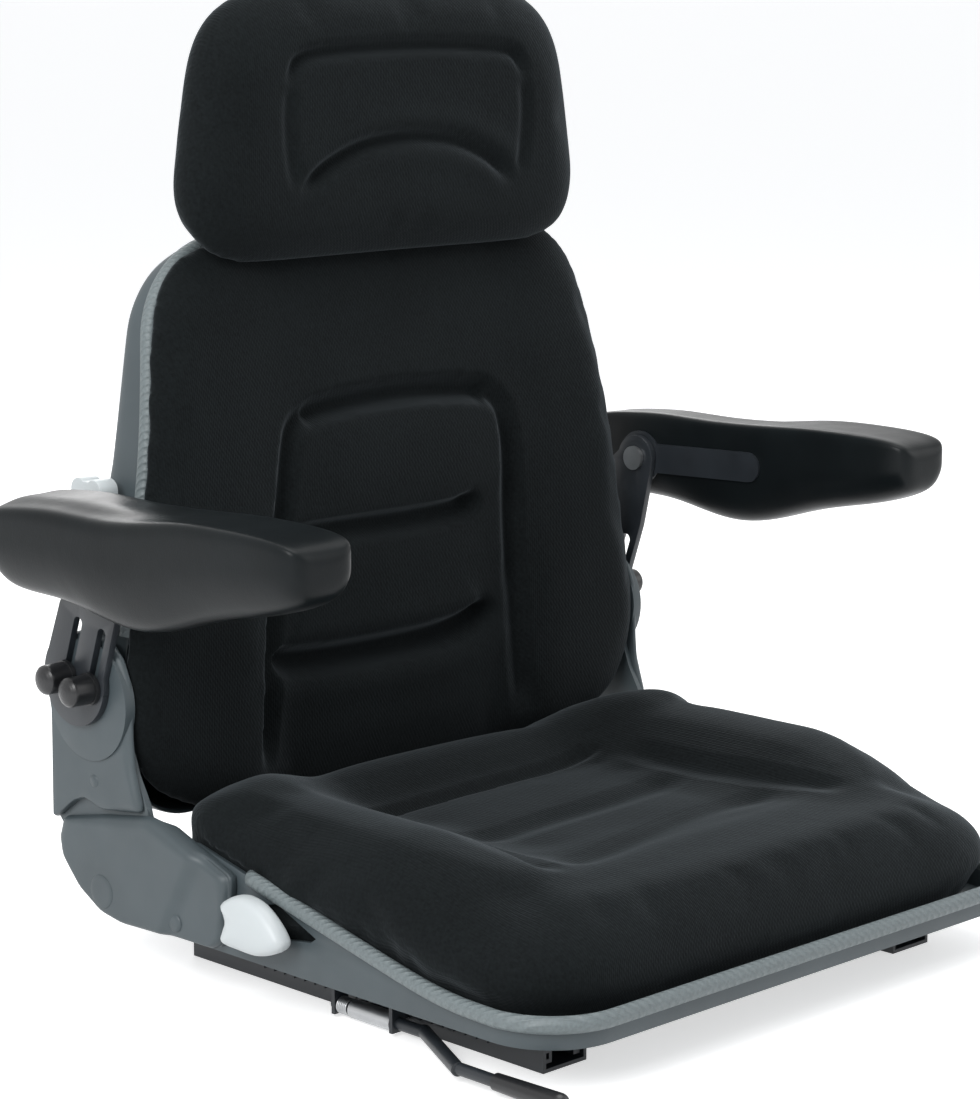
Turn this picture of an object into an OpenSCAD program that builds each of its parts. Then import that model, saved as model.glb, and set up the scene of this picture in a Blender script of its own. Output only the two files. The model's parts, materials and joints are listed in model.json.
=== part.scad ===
// Agricultural machine seat: slide rails, sprung rail latch, padded seat pan,
// reclining backrest with lumbar support, plug-in headrest and two armrests.
// Millimetres. +Z up, the sitter faces -Y. The origin is the centre of the
// four rail bolts, on the surface that the rails stand on.

/* [Slide rails] */
// Length of each slide rail
rail_length = 332; // [320:1:360]
// Width of the lower rail channel
rail_width = 38; // [37:0.5:42]
// Height of the lower rail channel
rail_height = 15; // [14.5:0.5:17]
// Sheet thickness of both rails
rail_sheet = 2.5; // [2.2:0.1:2.7]
// Distance between the two rails, centre to centre
rail_spacing = 340; // [330:1:344]
// Width of the upper rail that stands in the lower one
upper_width = 24; // [22:0.5:25]
// Height from the floor to the top of the upper rail
upper_top = 31; // [29:0.5:36]
// Distance from each end of a rail to its bolt hole
bolt_inset = 26; // [16:1:46]
// Diameter of the rail bolt holes
bolt_hole = 8.5; // [6.5:0.1:10.5]
// Pitch of the notches that the latch drops into
notch_pitch = 10; // [9:0.5:14]

/* [Seat] */
// Half width of the seat pan wall
pan_half = 233; // [228:1:238]
// Distance from the origin to the front wall of the pan
pan_front = 216; // [205:1:225]
// Distance from the origin to the rear wall of the pan
pan_rear = 174; // [165:1:176]
// Sheet thickness of the pan
pan_wall = 3; // [2.5:0.1:4]
// Height of the rolled rim above the pan floor at the front
rim_rise = 18; // [15:0.5:26]
// Slope of the rim towards the rear
rim_slope = 0.225; // [0.19:0.005:0.24]
// How far the rolled rim stands out of the pan wall
rim_roll = 7; // [5:0.5:8]
// Depth of the seat cushion at its middle, above the pan floor
seat_depth = 64; // [58:1:68]
// Height of the side bolsters over the middle of the seat
seat_bolster = 31; // [20:1:36]
// How far the seat rises at its rear, in front of the backrest
seat_rise = 19; // [8:1:20]

/* [Backrest] */
// How much the shell narrows for each millimetre of height
back_taper = 0.178; // [0.1:0.005:0.2]
// Height of the bottom of the backrest cushion
back_bottom = 102; // [102:1:112]
// Height of the top of the backrest
back_top = 478; // [470:1:484]
// Wall thickness of the backrest shell
shell_wall = 3; // [2.5:0.1:3.5]
// How far the cushion stands in front of the rim at the sides
back_bolster = 24; // [18:1:30]
// Depth of the hollow between the side bolsters, low down
back_hollow = 17; // [8:1:22]

/* [Recliner] */
// Distance from the origin back to the recliner axis
pivot_y = 190; // [188:0.5:192]
// Height of the recliner axis
pivot_z = 52; // [51:0.5:54]
// Diameter of the recliner shaft
pivot_d = 12; // [10:0.5:14]
// Thickness of the steel arms of the backrest
arm_sheet = 4.2; // [3.5:0.1:4.4]
// Radius of the toothed sector on each arm
sector_r = 62; // [58:1:62]
// How far the recliner covers stand out of the pan wall
cover_out = 14.8; // [13.8:0.1:17]
// Diameter of the recline lever shaft
lever_shaft_d = 8; // [6:0.5:10]

/* [Armrests] */
// Width of an armrest pad
armrest_width = 57.8; // [50:0.1:57.8]
// Diameter of the armrest pin
pin_d = 10; // [8:0.5:12]
// Travel of the armrest height adjustment
armrest_travel = 40; // [20:1:42]
// Diameter of the two clamping knobs
knob_d = 20; // [16:0.5:22]
// Length of the two clamping knobs
knob_length = 22; // [20:1:32]

/* [Headrest] */
// Half width of the headrest at its widest
head_half = 183; // [170:1:190]
// Height of the headrest above the top of the backrest
head_height = 172; // [157:1:187]
// Diameter of the headrest posts
post_d = 10; // [8:0.5:10]
// Distance between the headrest posts
post_spacing = 150; // [110:1:170]

/* [Hidden] */

$fn = 48;
fit = 0.05;          // radial clearance of a pin in its bore
slip = 0.3;          // gap between faces that slide or turn past each other
seat_gap = 0.2;      // gap between a cushion and what it lies on
cut = 1;             // how far a cutting solid runs past a face
reach = 400;         // size of a cutting solid that takes everything on one side

left = -1;
right = 1;

// Colours
black_steel = [0.10, 0.10, 0.11];
grey_paint = [0.36, 0.40, 0.42];
grey_trim = [0.42, 0.46, 0.48];
cloth_black = [0.13, 0.14, 0.15];
foam_black = [0.18, 0.20, 0.22];
white_plastic = [0.90, 0.91, 0.92];
black_plastic = [0.08, 0.08, 0.09];
bare_steel = [0.66, 0.67, 0.69];

// Small mathematics
function step01(t) = let(c = max(0, min(1, t))) c * c * (3 - 2 * c);
function mix(a, b, t) = a + (b - a) * t;
function softplus(t) = t > 20 ? t : ln(1 + exp(t));
function rounded(t) = let(c = max(0, min(1, t))) sqrt(1 - (1 - c) * (1 - c));

// A point of a square's edge, cut at even steps, and the same point on a rounded square
function square_point(i, m) =
    let(side = floor(i / m), f = 2 * (i - side * m) / m - 1)
    side == 0 ? [1, f] : side == 1 ? [-f, 1] : side == 2 ? [-1, -f] : [f, -1];
function round_square(i, m, n) =
    let(p = square_point(i, m)) p / pow(pow(abs(p.x), n) + pow(abs(p.y), n), 1 / n);

// Rim of the seat pan, seen from the side
rim_base = upper_top + rim_rise;
rim_bend = -128;      // where the rim starts to climb
rim_soft = 15;        // how softly it does so
function rim_z(y) = rim_base + rim_slope * rim_soft * softplus((y - rim_bend) / rim_soft);

// Front edge of the backrest shell, seen from the side
lean_from = 345;      // height where the backrest starts to lean back
lean = 0.2;
lean_soft = 25;
edge_y = 177;
function back_edge(z) = edge_y + lean * lean_soft * softplus((z - lean_from) / lean_soft);

// Half width of the backrest shell at a height
taper_from = 200;
function back_width(z) = back_half - back_taper * max(0, z - taper_from);

// Places that several pieces share
rail_x = rail_spacing / 2;
bolt_pitch = rail_length - 2 * bolt_inset;
screw_inset = 51;     // distance from each end of a lower rail to a pan screw
screw_pitch = rail_length - 2 * screw_inset;
pan_floor = upper_top + pan_wall;
pan_corner = 50;
rim_out = pan_half + rim_roll;
trim_rear = 52;       // where the seat trim ends, in front of the recliner cover
cover_face = pan_half + cover_out;
bracket_sheet = 2.8;
bracket_face = pan_half + bracket_sheet;
arm_in = bracket_face + 0.6;
arm_out = arm_in + arm_sheet;
shell_gap = 0.4;      // gap between the backrest shell and the arms beside it
back_half = arm_in - shell_gap;
head_top = back_top + head_height;
boss_y = 200;         // middle of the round boss that carries the armrest bracket
boss_z = 182;
boss_r = 41;
boss_rise = 0.9;      // how far the boss stands out of the recliner cover
boss_face = cover_face + boss_rise;
armrest_sheet = 5;
armrest_in = boss_face + slip;
armrest_out = armrest_in + armrest_sheet;
hinge_sheet = 1.9;
hinge_in = armrest_out + slip;
hinge_out = hinge_in + hinge_sheet;
arm_pivot = [167, 294];
knob_a = [214, 197];
knob_b = [189, 192.5];
slot_tilt = 19;       // lean of the armrest bracket and its slots
stud_d = 8;
slot_w = stud_d + 0.6;
lever_axis = [50, 63];
lumbar_axis = [212, 306];
lumbar_d = 10;
post_y = 214.5;
guide_wall = 1.3;
handle_axis = [-202, 7.5];
handle_d = 8;

module along_x(x0, x1) {
    translate([x0, 0, 0]) rotate([90, 0, 90]) linear_extrude(x1 - x0) children();
}

module along_y(y0, y1) {
    translate([0, y1, 0]) rotate([90, 0, 0]) linear_extrude(y1 - y0) children();
}

// A round bar along X between two distances from the middle, on one side
module bar_x(side, x0, x1, place, d) {
    translate([side > 0 ? x0 : -x1, place[0], place[1]]) rotate([0, 90, 0]) cylinder(h = x1 - x0, d = d);
}

// A flat plate across X on one side, from an outline in Y and Z
module plate_x(side, x0, x1) {
    if (side > 0) along_x(x0, x1) children();
    else along_x(-x1, -x0) children();
}

// A rectangle with round corners, from true arcs
module round_rect(x0, x1, y0, y1, r) {
    translate([x0 + r, y0]) square([x1 - x0 - 2 * r, y1 - y0]);
    translate([x0, y0 + r]) square([x1 - x0, y1 - y0 - 2 * r]);
    for (x = [x0 + r, x1 - r], y = [y0 + r, y1 - r]) translate([x, y]) circle(r);
}

// A straight slot with round ends between two points
module slot(a, b, w) {
    d = b - a;
    translate(a) rotate(atan2(d.y, d.x)) {
        translate([0, -w / 2]) square([norm(d), w]);
        circle(d = w);
        translate([norm(d), 0]) circle(d = w);
    }
}

// A closed solid through rings of points, each end closed to a point in its middle
function middle(ring) = [for (k = [0:2]) [for (p = ring) p[k]] * [for (p = ring) 1] / len(ring)];
module loft(rings) {
    m = len(rings[0]);
    count = len(rings);
    points = [for (r = rings) each r, middle(rings[0]), middle(rings[count - 1])];
    sides = [for (k = [0:count - 2], i = [0:m - 1]) let(j = (i + 1) % m)
        each [[k * m + i, k * m + j, (k + 1) * m + j], [k * m + i, (k + 1) * m + j, (k + 1) * m + i]]];
    first = [for (i = [0:m - 1]) [(i + 1) % m, i, count * m]];
    last = [for (i = [0:m - 1]) [(count - 1) * m + i, (count - 1) * m + (i + 1) % m, count * m + 1]];
    polyhedron(points, [for (f = concat(sides, first, last)) [f[2], f[1], f[0]]]);
}

// Slide rails

module lower_profile() {
    inner = rail_width - 2 * rail_sheet;
    mouth = upper_width + 2;
    difference() {
        translate([-rail_width / 2, 0]) square([rail_width, rail_height]);
        translate([-inner / 2, rail_sheet]) square([inner, rail_height - 2 * rail_sheet]);
        translate([-mouth / 2, rail_sheet]) square([mouth, rail_height]);
    }
}

foot_z = 5;           // underside of the upper rail's feet
foot_half = rail_width / 2 - rail_sheet - 1.5;
module upper_profile() {
    half = upper_width / 2;
    translate([-half, upper_top - rail_sheet]) square([upper_width, rail_sheet]);
    for (s = [-1, 1]) {
        translate([s > 0 ? half - rail_sheet : -half, foot_z]) square([rail_sheet, upper_top - foot_z]);
        translate([s > 0 ? half - rail_sheet : -foot_half, foot_z])
            square([foot_half - half + rail_sheet, rail_sheet]);
    }
}

module lower_rail(side) {
    color(black_steel) translate([side * rail_x, 0, 0]) difference() {
        along_y(-rail_length / 2, rail_length / 2) lower_profile();
        for (y = [-1, 1]) translate([0, y * bolt_pitch / 2, -cut])
            cylinder(h = rail_sheet + 2 * cut, d = bolt_hole);
    }
}
module lower_rail_left() { lower_rail(left); }
module lower_rail_right() { lower_rail(right); }

screw_d = 8;
upper_end = 2;        // how much shorter the upper rail is at each end
module upper_rail(side) {
    color(black_steel) translate([side * rail_x, 0, 0]) difference() {
        along_y(-rail_length / 2 + upper_end, rail_length / 2 - upper_end) upper_profile();
        for (y = [-1, 1]) translate([0, y * screw_pitch / 2, upper_top - rail_sheet - cut])
            cylinder(h = rail_sheet + 2 * cut, d = screw_d + 2 * fit);
    }
}
module upper_rail_left() { upper_rail(left); }
module upper_rail_right() { upper_rail(right); }

// Nylon shoes clipped round the feet of the upper rails
shoe_length = 34;
shoe_inset = 84;
module shoe_profile() {
    outer = rail_width / 2 - rail_sheet - slip;
    low = rail_sheet + slip;
    high = rail_height - rail_sheet - slip;
    leg = upper_width / 2;
    translate([leg - rail_sheet, low]) square([outer - leg + rail_sheet, foot_z - low]);
    translate([foot_half, low]) square([outer - foot_half, high - low]);
    translate([leg, foot_z + rail_sheet]) square([outer - leg, high - foot_z - rail_sheet]);
}
module rail_shoes() {
    y_end = rail_length / 2 - upper_end - shoe_inset;
    color(white_plastic) for (s = [left, right], m = [0, 1], y0 = [-y_end, y_end - shoe_length])
        translate([s * rail_x, 0, 0]) mirror([m, 0, 0]) along_y(y0, y0 + shoe_length) shoe_profile();
}

// Countersunk screws that hold the pan on the upper rails, and their nuts
screw_head = 15;
nut_h = 6.5;
module each_screw() {
    for (s = [left, right], y = [-1, 1]) translate([s * rail_x, y * screw_pitch / 2, 0]) children();
}
module rail_screws() {
    color(bare_steel) each_screw() {
        translate([0, 0, pan_floor - pan_wall]) cylinder(h = pan_wall - 0.1, d1 = screw_d, d2 = screw_head);
        translate([0, 0, upper_top - rail_sheet - nut_h - 2])
            cylinder(h = nut_h + 2 + rail_sheet, d = screw_d);
    }
}
module rail_nuts() {
    color(bare_steel) each_screw() translate([0, 0, upper_top - rail_sheet - nut_h]) difference() {
        cylinder(h = nut_h, d = 15, $fn = 6);
        translate([0, 0, -cut]) cylinder(h = nut_h + 2 * cut, d = screw_d + 2 * fit);
    }
}

// Notched strip on the outside of the left rail, and the latch that works in it
rack_from = -rail_length / 2 + 46;
rack_to = rail_length / 2 - 68;
rack_sheet = 2.5;
rack_low = 9;
notch_w = notch_pitch / 2;
module lock_rack() {
    count = floor((rack_to - rack_from - notch_w) / notch_pitch);
    color(black_steel) translate([-rail_x - rail_width / 2 - rack_sheet, 0, 0]) difference() {
        translate([0, rack_from, rack_low]) cube([rack_sheet, rack_to - rack_from, rail_height - rack_low]);
        for (k = [0:count - 1]) translate([-cut, rack_from + notch_w + k * notch_pitch, rack_low - cut])
            cube([rack_sheet + 2 * cut, notch_w, 3 + cut]);
    }
}

// Latch handle: a rod in two ears under the pan, cranked outwards to a grip
ear_sheet = 3;
ear_rear = 2;
ear_front = -52;
ear_half = 6;
latch_gap = 0.3;
module handle_bracket() {
    x0 = handle_axis[0] - ear_half;
    color(black_steel) difference() {
        union() {
            translate([x0 - 4, ear_front, upper_top - rail_sheet])
                cube([ear_half * 2 + 8, ear_rear + ear_sheet - ear_front, rail_sheet]);
            for (y = [ear_front, ear_rear]) translate([x0, y, handle_axis[1] - 5.5])
                cube([ear_half * 2, ear_sheet, upper_top - handle_axis[1] + 5.5 - rail_sheet]);
        }
        translate([handle_axis[0], ear_rear + ear_sheet + cut, handle_axis[1]]) rotate([90, 0, 0])
            cylinder(h = ear_rear - ear_front + ear_sheet + 2 * cut, d = handle_d + 2 * fit);
    }
}

crank_x = -235;
crank_z = 8.5;
grip_from = -172;
grip_to = -224;
grip_d = 13;
module slide_handle() {
    start = [handle_axis[0], -76, handle_axis[1]];
    knee = [crank_x, -138, crank_z];
    way = (knee - start) / norm(knee - start);
    lap = 3.2;
    color(black_steel) {
        translate([handle_axis[0], ear_rear + ear_sheet + 3, handle_axis[1]]) rotate([90, 0, 0])
            cylinder(h = ear_rear + ear_sheet + 3 - start.y, d = handle_d);
        rod_between(start - lap * way, knee + lap * way, handle_d + 1);
        translate(knee) rotate([90, 0, 0]) cylinder(h = knee.y - grip_to - 6, d = handle_d);
    }
}

module rod_between(a, b, d) {
    v = b - a;
    translate(a) rotate([0, acos(v.z / norm(v)), atan2(v.y, v.x)])
        cylinder(h = norm(v), d = d);
}

module handle_grip() {
    color(black_plastic) difference() {
        union() {
            translate([crank_x, grip_from, crank_z]) rotate([90, 0, 0])
                cylinder(h = grip_from - grip_to, d1 = grip_d - 2, d2 = grip_d);
            translate([crank_x, grip_to, crank_z]) sphere(d = grip_d);
        }
        translate([crank_x, grip_from + cut, crank_z]) rotate([90, 0, 0])
            cylinder(h = grip_from - grip_to - 6 + cut + 0.2, d = handle_d + 2 * fit);
        translate([crank_x - grip_d, grip_to - grip_d, crank_z - grip_d - 7])
            cube([grip_d * 2, 3 * grip_d, grip_d]);
    }
}

module latch_plate() {
    hub = 12.5;
    y0 = ear_front + ear_sheet + latch_gap;
    y1 = ear_rear - latch_gap - 12;
    inner_x = -rail_x - rail_width / 2 - 1;
    low = handle_axis[1] - 1.2;
    // the teeth stand under the notches that come first and next over this plate
    first = ceil((y0 + 2 - rack_from - notch_w) / notch_pitch);
    teeth = floor((y1 - y0 - 4) / notch_pitch);
    color(bare_steel) difference() {
        union() {
            translate([handle_axis[0], y1, handle_axis[1]]) rotate([90, 0, 0]) cylinder(h = y1 - y0, d = hub);
            translate([handle_axis[0], y0, low]) cube([inner_x - handle_axis[0], y1 - y0, 1.6]);
            for (k = [first:first + teeth - 1])
                translate([inner_x - 1.4, rack_from + notch_w + 0.4 + k * notch_pitch, low])
                    cube([1.4, notch_w - 0.8, rack_low - latch_gap - low]);
        }
        translate([handle_axis[0], y1 + cut, handle_axis[1]]) rotate([90, 0, 0])
            cylinder(h = y1 - y0 + 2 * cut, d = handle_d + 2 * fit);
    }
}

// A close-wound spring as touching rings of round wire, along Z from the origin
module spring_rings(count, r, wire) {
    for (k = [0:count - 1]) translate([0, 0, wire * (k + 0.5)])
        rotate_extrude() translate([r, 0]) circle(d = wire, $fn = 24);
}

module latch_spring() {
    wire = 1.6;
    turns = 6;
    color(bare_steel) translate([handle_axis[0], ear_rear - 0.4, handle_axis[1]]) rotate([90, 0, 0])
        spring_rings(turns, handle_d / 2 + wire / 2 + 0.2, wire);
}

// Seat pan, trim and cushion

// Outline of the pan in plan, moved outwards by an amount
module pan_plan(out) {
    round_rect(-pan_half - out, pan_half + out, -pan_front - out, pan_rear + out, pan_corner + out);
}

// Side view of everything under a height above the rim, over the pan's length
side_step = 14;
rear_drop = 22;       // how far the pan's rear wall stands below the rim
drop_from = 110;
function wall_z(y) = rim_z(min(y, drop_from)) - rear_drop * step01((y - drop_from) / (pan_rear - drop_from));
module side_view(low, lift) {
    y0 = -pan_front - rim_roll - 2;
    y1 = pan_rear + 2;
    n = ceil((y1 - y0) / side_step);
    top = [for (k = [0:n]) let(y = mix(y0, y1, k / n)) [y, wall_z(y) + lift]];
    polygon(concat([[y1, low], [y0, low]], top));
}

recess = [[40, 72], [28, 75], [12, 68.5], [-9, 60], [-4, 56.5], [14, 54], [40, 50]];
module seat_pan() {
    color(grey_paint) difference() {
        intersection() {
            translate([0, 0, upper_top]) linear_extrude(120) pan_plan(0);
            along_x(-rim_out, rim_out) side_view(upper_top, -3);
        }
        translate([0, 0, pan_floor]) linear_extrude(120) pan_plan(-pan_wall);
        each_screw() translate([0, 0, upper_top])
            cylinder(h = pan_wall, d1 = screw_d + 0.2, d2 = screw_head + 0.2);
        along_x(-pan_half - cut, -pan_half + pan_wall + cut) polygon(recess);
        bar_x(left, pan_half - pan_wall - cut, pan_half + cut, lever_axis, lever_shaft_d + 2 * fit);
        for (s = [left, right], p = rivets) bar_x(s, pan_half - pan_wall - cut, pan_half + cut, p, rivet_d);
    }
}

module seat_trim() {
    color(grey_trim) difference() {
        intersection() {
            linear_extrude(140) pan_plan(rim_roll);
            along_x(-rim_out, rim_out) side_view(upper_top, 4);
            translate([-rim_out, -pan_front - rim_roll, 0])
                cube([2 * rim_out, pan_front + rim_roll + trim_rear, 140]);
        }
        along_x(-rim_out - cut, rim_out + cut) side_view(0, -7);
        linear_extrude(140) pan_plan(-1);
        intersection() {
            linear_extrude(140) pan_plan(0);
            along_x(-rim_out - cut, rim_out + cut) side_view(0, -3);
        }
    }
}

// Height of the seat cushion's top
seat_centre = upper_top + pan_wall + seat_depth;
function seat_top(x, y) =
    seat_centre + seat_bolster * step01((abs(x) - 95) / 80) * (1 - step01((-45 - y) / 125))
    + 8 * step01((-60 - y) / 70) + seat_rise * step01((y - 70) / 60)
    - 30 * step01((y - 85) / 55) * step01((abs(x) - 95) / 85);

seat_m = 14;
seat_n = 7;
cushion_rear = pan_rear - pan_wall - 0.5;
cushion_front = pan_front - pan_wall - 0.5;
cushion_half = pan_half - pan_wall - 0.5;
cushion_mid = (cushion_rear - cushion_front) / 2;
cushion_long = (cushion_rear + cushion_front) / 2;
// The cushion bulges over the rim as far back as the seat trim reaches
function seat_bulge(inset, y) = inset < 0 ? inset * (1 - 0.7 * step01((y - 10) / 35)) : inset;
// Its rear edge stays clear of the backrest cushion
rear_ease = 14;
function seat_ring(inset, t) = [for (i = [0:4 * seat_m - 1])
    let(p = round_square(i, seat_m, seat_n),
        ease = p.y > 0 && t > 0 ? max(inset, 0) + rear_ease : max(inset, -3),
        y = cushion_mid + p.y * (cushion_long - ease),
        x = p.x * (cushion_half - seat_bulge(inset, y)),
        low = wall_z(y) + (inset < 0 ? 10 : 2))
    [x, y, t < 0 ? pan_floor + seat_gap : mix(low, seat_top(x, y), t)]];
edge_round = 42;
module seat_cushion() {
    insets = [4, 12, 22, 36, 54, 78, 104, 132, 160];
    color(cloth_black) loft(concat(
        [seat_ring(6, -1), seat_ring(0, -1), seat_ring(0, 0), seat_ring(-7, 0.1)],
        [for (d = insets) seat_ring(d - 8, max(0.3, rounded(d / edge_round)))]));
}

// Recliner

// Outline of the recliner cover in Y and Z
cover_outline = [[235, 95], [140, 112.5], [92, 95], [65.5, 86], [65.5, 77], [72, 41], [80.5, 34.6],
    [172, 33.5], [193, 38.5], [215, 51.4], [234, 70.6], [239, 81.5]];
bracket_outline = [[226, 82], [140, 105], [92, 88], [70, 80], [76, 42], [84, 37.5], [172, 36.5],
    [193, 38.5], [212, 54]];
rivets = [[84, 70], [108, 50], [130, 84]];
rivet_d = 6;
module recliner_bracket(side) {
    color(black_steel) difference() {
        plate_x(side, pan_half, bracket_face) polygon(bracket_outline);
        bar_x(side, pan_half - cut, bracket_face + cut, [pivot_y, pivot_z], pivot_d + 2 * fit);
        for (p = rivets) bar_x(side, pan_half - cut, bracket_face + cut, p, rivet_d);
    }
}
module recliner_bracket_left() { recliner_bracket(left); }
module recliner_bracket_right() { recliner_bracket(right); }

module bracket_rivets() {
    color(bare_steel) for (s = [left, right], p = rivets)
        bar_x(s, pan_half - pan_wall, bracket_face, p, rivet_d);
}

cover_sheet = 2.5;
cap_d = 23;
wall_end = 168;       // the cover's edge is open behind this, where the arm swings
wall_open = 135;      // its top is open behind this
module recliner_cover(side) {
    color(grey_paint) difference() {
        plate_x(side, pan_half + seat_gap, cover_face) polygon(cover_outline);
        plate_x(side, pan_half, cover_face - cover_sheet) intersection() {
            polygon(bracket_outline);
            square([wall_end, reach]);
        }
        plate_x(side, pan_half, cover_face - cover_sheet) {
            translate([wall_open, 37]) square([reach, reach]);
            translate([wall_end, 0]) square([reach, reach]);
        }
        plate_x(side, arm_in - 0.5, arm_in + 4.4) translate([60, 49]) square([20, 23]);
        bar_x(side, cover_face - cover_sheet - cut, cover_face + cut, [pivot_y, pivot_z], cap_d + 0.4);
    }
}
module recliner_cover_left() { recliner_cover(left); }
module recliner_cover_right() { recliner_cover(right); }

module recliner_shaft() {
    end = arm_out + 1;
    color(bare_steel) translate([-end, pivot_y, pivot_z]) rotate([0, 90, 0])
        cylinder(h = 2 * end, d = pivot_d);
}

module pivot_caps() {
    color(grey_paint) for (s = [left, right]) difference() {
        bar_x(s, arm_out + slip, cover_face, [pivot_y, pivot_z], cap_d);
        bar_x(s, arm_out, arm_out + 1.1, [pivot_y, pivot_z], pivot_d + 2 * fit);
    }
}

module recline_spring() {
    wire = 4;
    turns = 9;
    color(bare_steel) translate([pan_half - wire * turns - 2, pivot_y, pivot_z]) rotate([0, 90, 0])
        spring_rings(turns, pivot_d / 2 + wire / 2 + 0.2, wire);
}

// Steel arm of the backrest: sector and hub at the pivot, boss for the armrest
arm_hub = 14.5;
arm_outline = [[pivot_y - 14, pivot_z - 2], [138, 85], [146, 107], [149, 117], [160, 136], [167, 155],
    [172, 185], [177, 206], [189, 222], [215, 222], [235, 206], [243, 172], [243, 93],
    [pivot_y + 14, pivot_z - 2]];
tooth_from = 150;
tooth_to = 202;
tooth_step = 4;
module recliner_arm(side) {
    color(grey_paint) difference() {
        union() {
            plate_x(side, arm_in, arm_out) {
                polygon(arm_outline);
                translate([pivot_y, pivot_z]) circle(arm_hub);
                intersection() {
                    translate([pivot_y, pivot_z]) circle(sector_r);
                    polygon([[pivot_y, pivot_z], [100, 100], [100, 38], [pivot_y - 5, pivot_z - 10]]);
                }
            }
            bar_x(side, arm_out, boss_face, [boss_y, boss_z], 2 * boss_r);
        }
        bar_x(side, arm_in - cut, arm_out + cut, [pivot_y, pivot_z], pivot_d + 2 * fit);
        for (a = [tooth_from:tooth_step:tooth_to])
            bar_x(side, arm_in - cut, arm_out + cut,
                [pivot_y + sector_r * cos(a), pivot_z + sector_r * sin(a)], 3);
        for (p = [knob_a, knob_b]) bar_x(side, arm_in - cut, boss_face + cut, p, stud_d + 2 * fit);
        for (p = arm_rivet_places) bar_x(side, arm_in - cut, arm_rivet_end + 0.2, p, rivet_d);
    }
}
arm_rivet_places = [[205, 166], [226, 184]];
arm_rivet_end = arm_out + 3.2;
module recliner_arm_left() { recliner_arm(left); }
module recliner_arm_right() { recliner_arm(right); }

module arm_rivets() {
    color(grey_paint) for (s = [left, right], p = arm_rivet_places) {
        bar_x(s, back_half - shell_wall, arm_rivet_end, p, rivet_d);
        bar_x(s, back_half - shell_wall - 2, back_half - shell_wall, p, rivet_d * 1.6);
    }
}

// Lever, its shaft and the pawl behind the cover
lever_outline = [[62, 52], [62.5, 64], [58, 74], [50, 80.5], [38, 83], [22, 79], [4, 67], [-5.5, 60],
    [-4, 54.5], [12, 47.5], [26, 44.5], [44, 45.5], [56, 47.5]];
lever_in = pan_half + 10;
lever_out = pan_half + 24;
lever_shaft_end = lever_out - 4;
module recline_lever() {
    color(white_plastic) difference() {
        union() {
            plate_x(left, lever_in, lever_out) polygon(lever_outline);
            bar_x(left, pan_half + 7, lever_in, lever_axis, 18);
        }
        bar_x(left, pan_half, lever_shaft_end, lever_axis, lever_shaft_d + 2 * fit);
    }
}
module lever_shaft() {
    color(bare_steel) bar_x(left, pan_half - pan_wall + 0.2, lever_shaft_end, lever_axis, lever_shaft_d);
}
pawl_sheet = 3;
pawl_in = pan_half + 3.4;
module recline_pawl() {
    tip = [pivot_y - sector_r - 0.6, 57];
    color(bare_steel) difference() {
        plate_x(left, pawl_in, pawl_in + pawl_sheet) {
            polygon([lever_axis - [0, 5], tip - [6, 4], tip, tip + [-6, 4], lever_axis + [0, 5]]);
            translate(lever_axis) circle(8);
        }
        bar_x(left, pawl_in - cut, pawl_in + pawl_sheet + cut, lever_axis, lever_shaft_d + 2 * fit);
    }
}
module lever_spring() {
    wire = 1.4;
    color(bare_steel) translate([-pan_half - slip, lever_axis[0], lever_axis[1]]) rotate([0, -90, 0])
        spring_rings(2, lever_shaft_d / 2 + wire / 2 + 0.2, wire);
}

// Backrest

// Front view outline of the backrest, moved outwards by an amount
back_corner_top = 58;
back_corner_low = 55;
module back_front_view(out) {
    top = back_top + out;
    low = back_bottom - 6 - out;
    n = 8;
    // a quarter turn of a rounded corner, scaled to the leaning side
    function corner(cz, r, from) = [for (k = [0:n])
        let(a = from + 90 * k / n, z = cz + r * sin(a)) [back_width(z) + out - r + r * cos(a), z]];
    outline = concat(corner(low + back_corner_low, back_corner_low, -90),
        [[back_width(taper_from) + out, taper_from]], corner(top - back_corner_top, back_corner_top, 0));
    polygon(concat(outline, [for (k = [len(outline) - 1:-1:0]) [-outline[k].x, outline[k].y]]));
}

// Side view: from the front edge to the rear wall, both moved by amounts
back_rear = [[84, 236], [104, 244], [165, 244], [300, 234], [322, 225], [430, 225], [460, 226],
    [back_top + 8, 222]];
back_under = back_rear[0].x;
function rear_points(rear_in) =
    [for (k = [len(back_rear) - 1:-1:0]) [back_rear[k].y - rear_in, back_rear[k].x]];
module back_side_view(front_in, rear_in) {
    n = 14;
    front = [for (k = [0:n]) let(z = mix(back_under, back_top + 8, k / n)) [back_edge(z) + front_in, z]];
    polygon(concat(front, rear_points(rear_in)));
}

// The same side view, reaching forwards far past the front edge
module back_open_view(rear_in) {
    polygon(concat([[0, back_under], [0, back_top + 8]], rear_points(rear_in)));
}

module each_post() {
    for (s = [left, right]) translate([s * post_spacing / 2, post_y, 0]) children();
}

guide_d = post_d + 2 * fit + 2 * guide_wall;
module back_shell() {
    color(grey_paint) difference() {
        intersection() {
            along_y(150, 260) back_front_view(0);
            along_x(-back_half - 5, back_half + 5) back_side_view(0, 0);
        }
        intersection() {
            along_y(100, 260) back_front_view(-shell_wall);
            along_x(-back_half - 5, back_half + 5) back_open_view(shell_wall);
        }
        each_post() translate([0, 0, back_top - 10]) cylinder(h = 20, d = guide_d);
        bar_x(left, back_half - 40, back_half, lumbar_axis, lumbar_d + 2 * fit);
        for (s = [left, right], p = arm_rivet_places)
            bar_x(s, back_half - shell_wall - cut, back_half + cut, p, rivet_d);
    }
}

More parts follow.
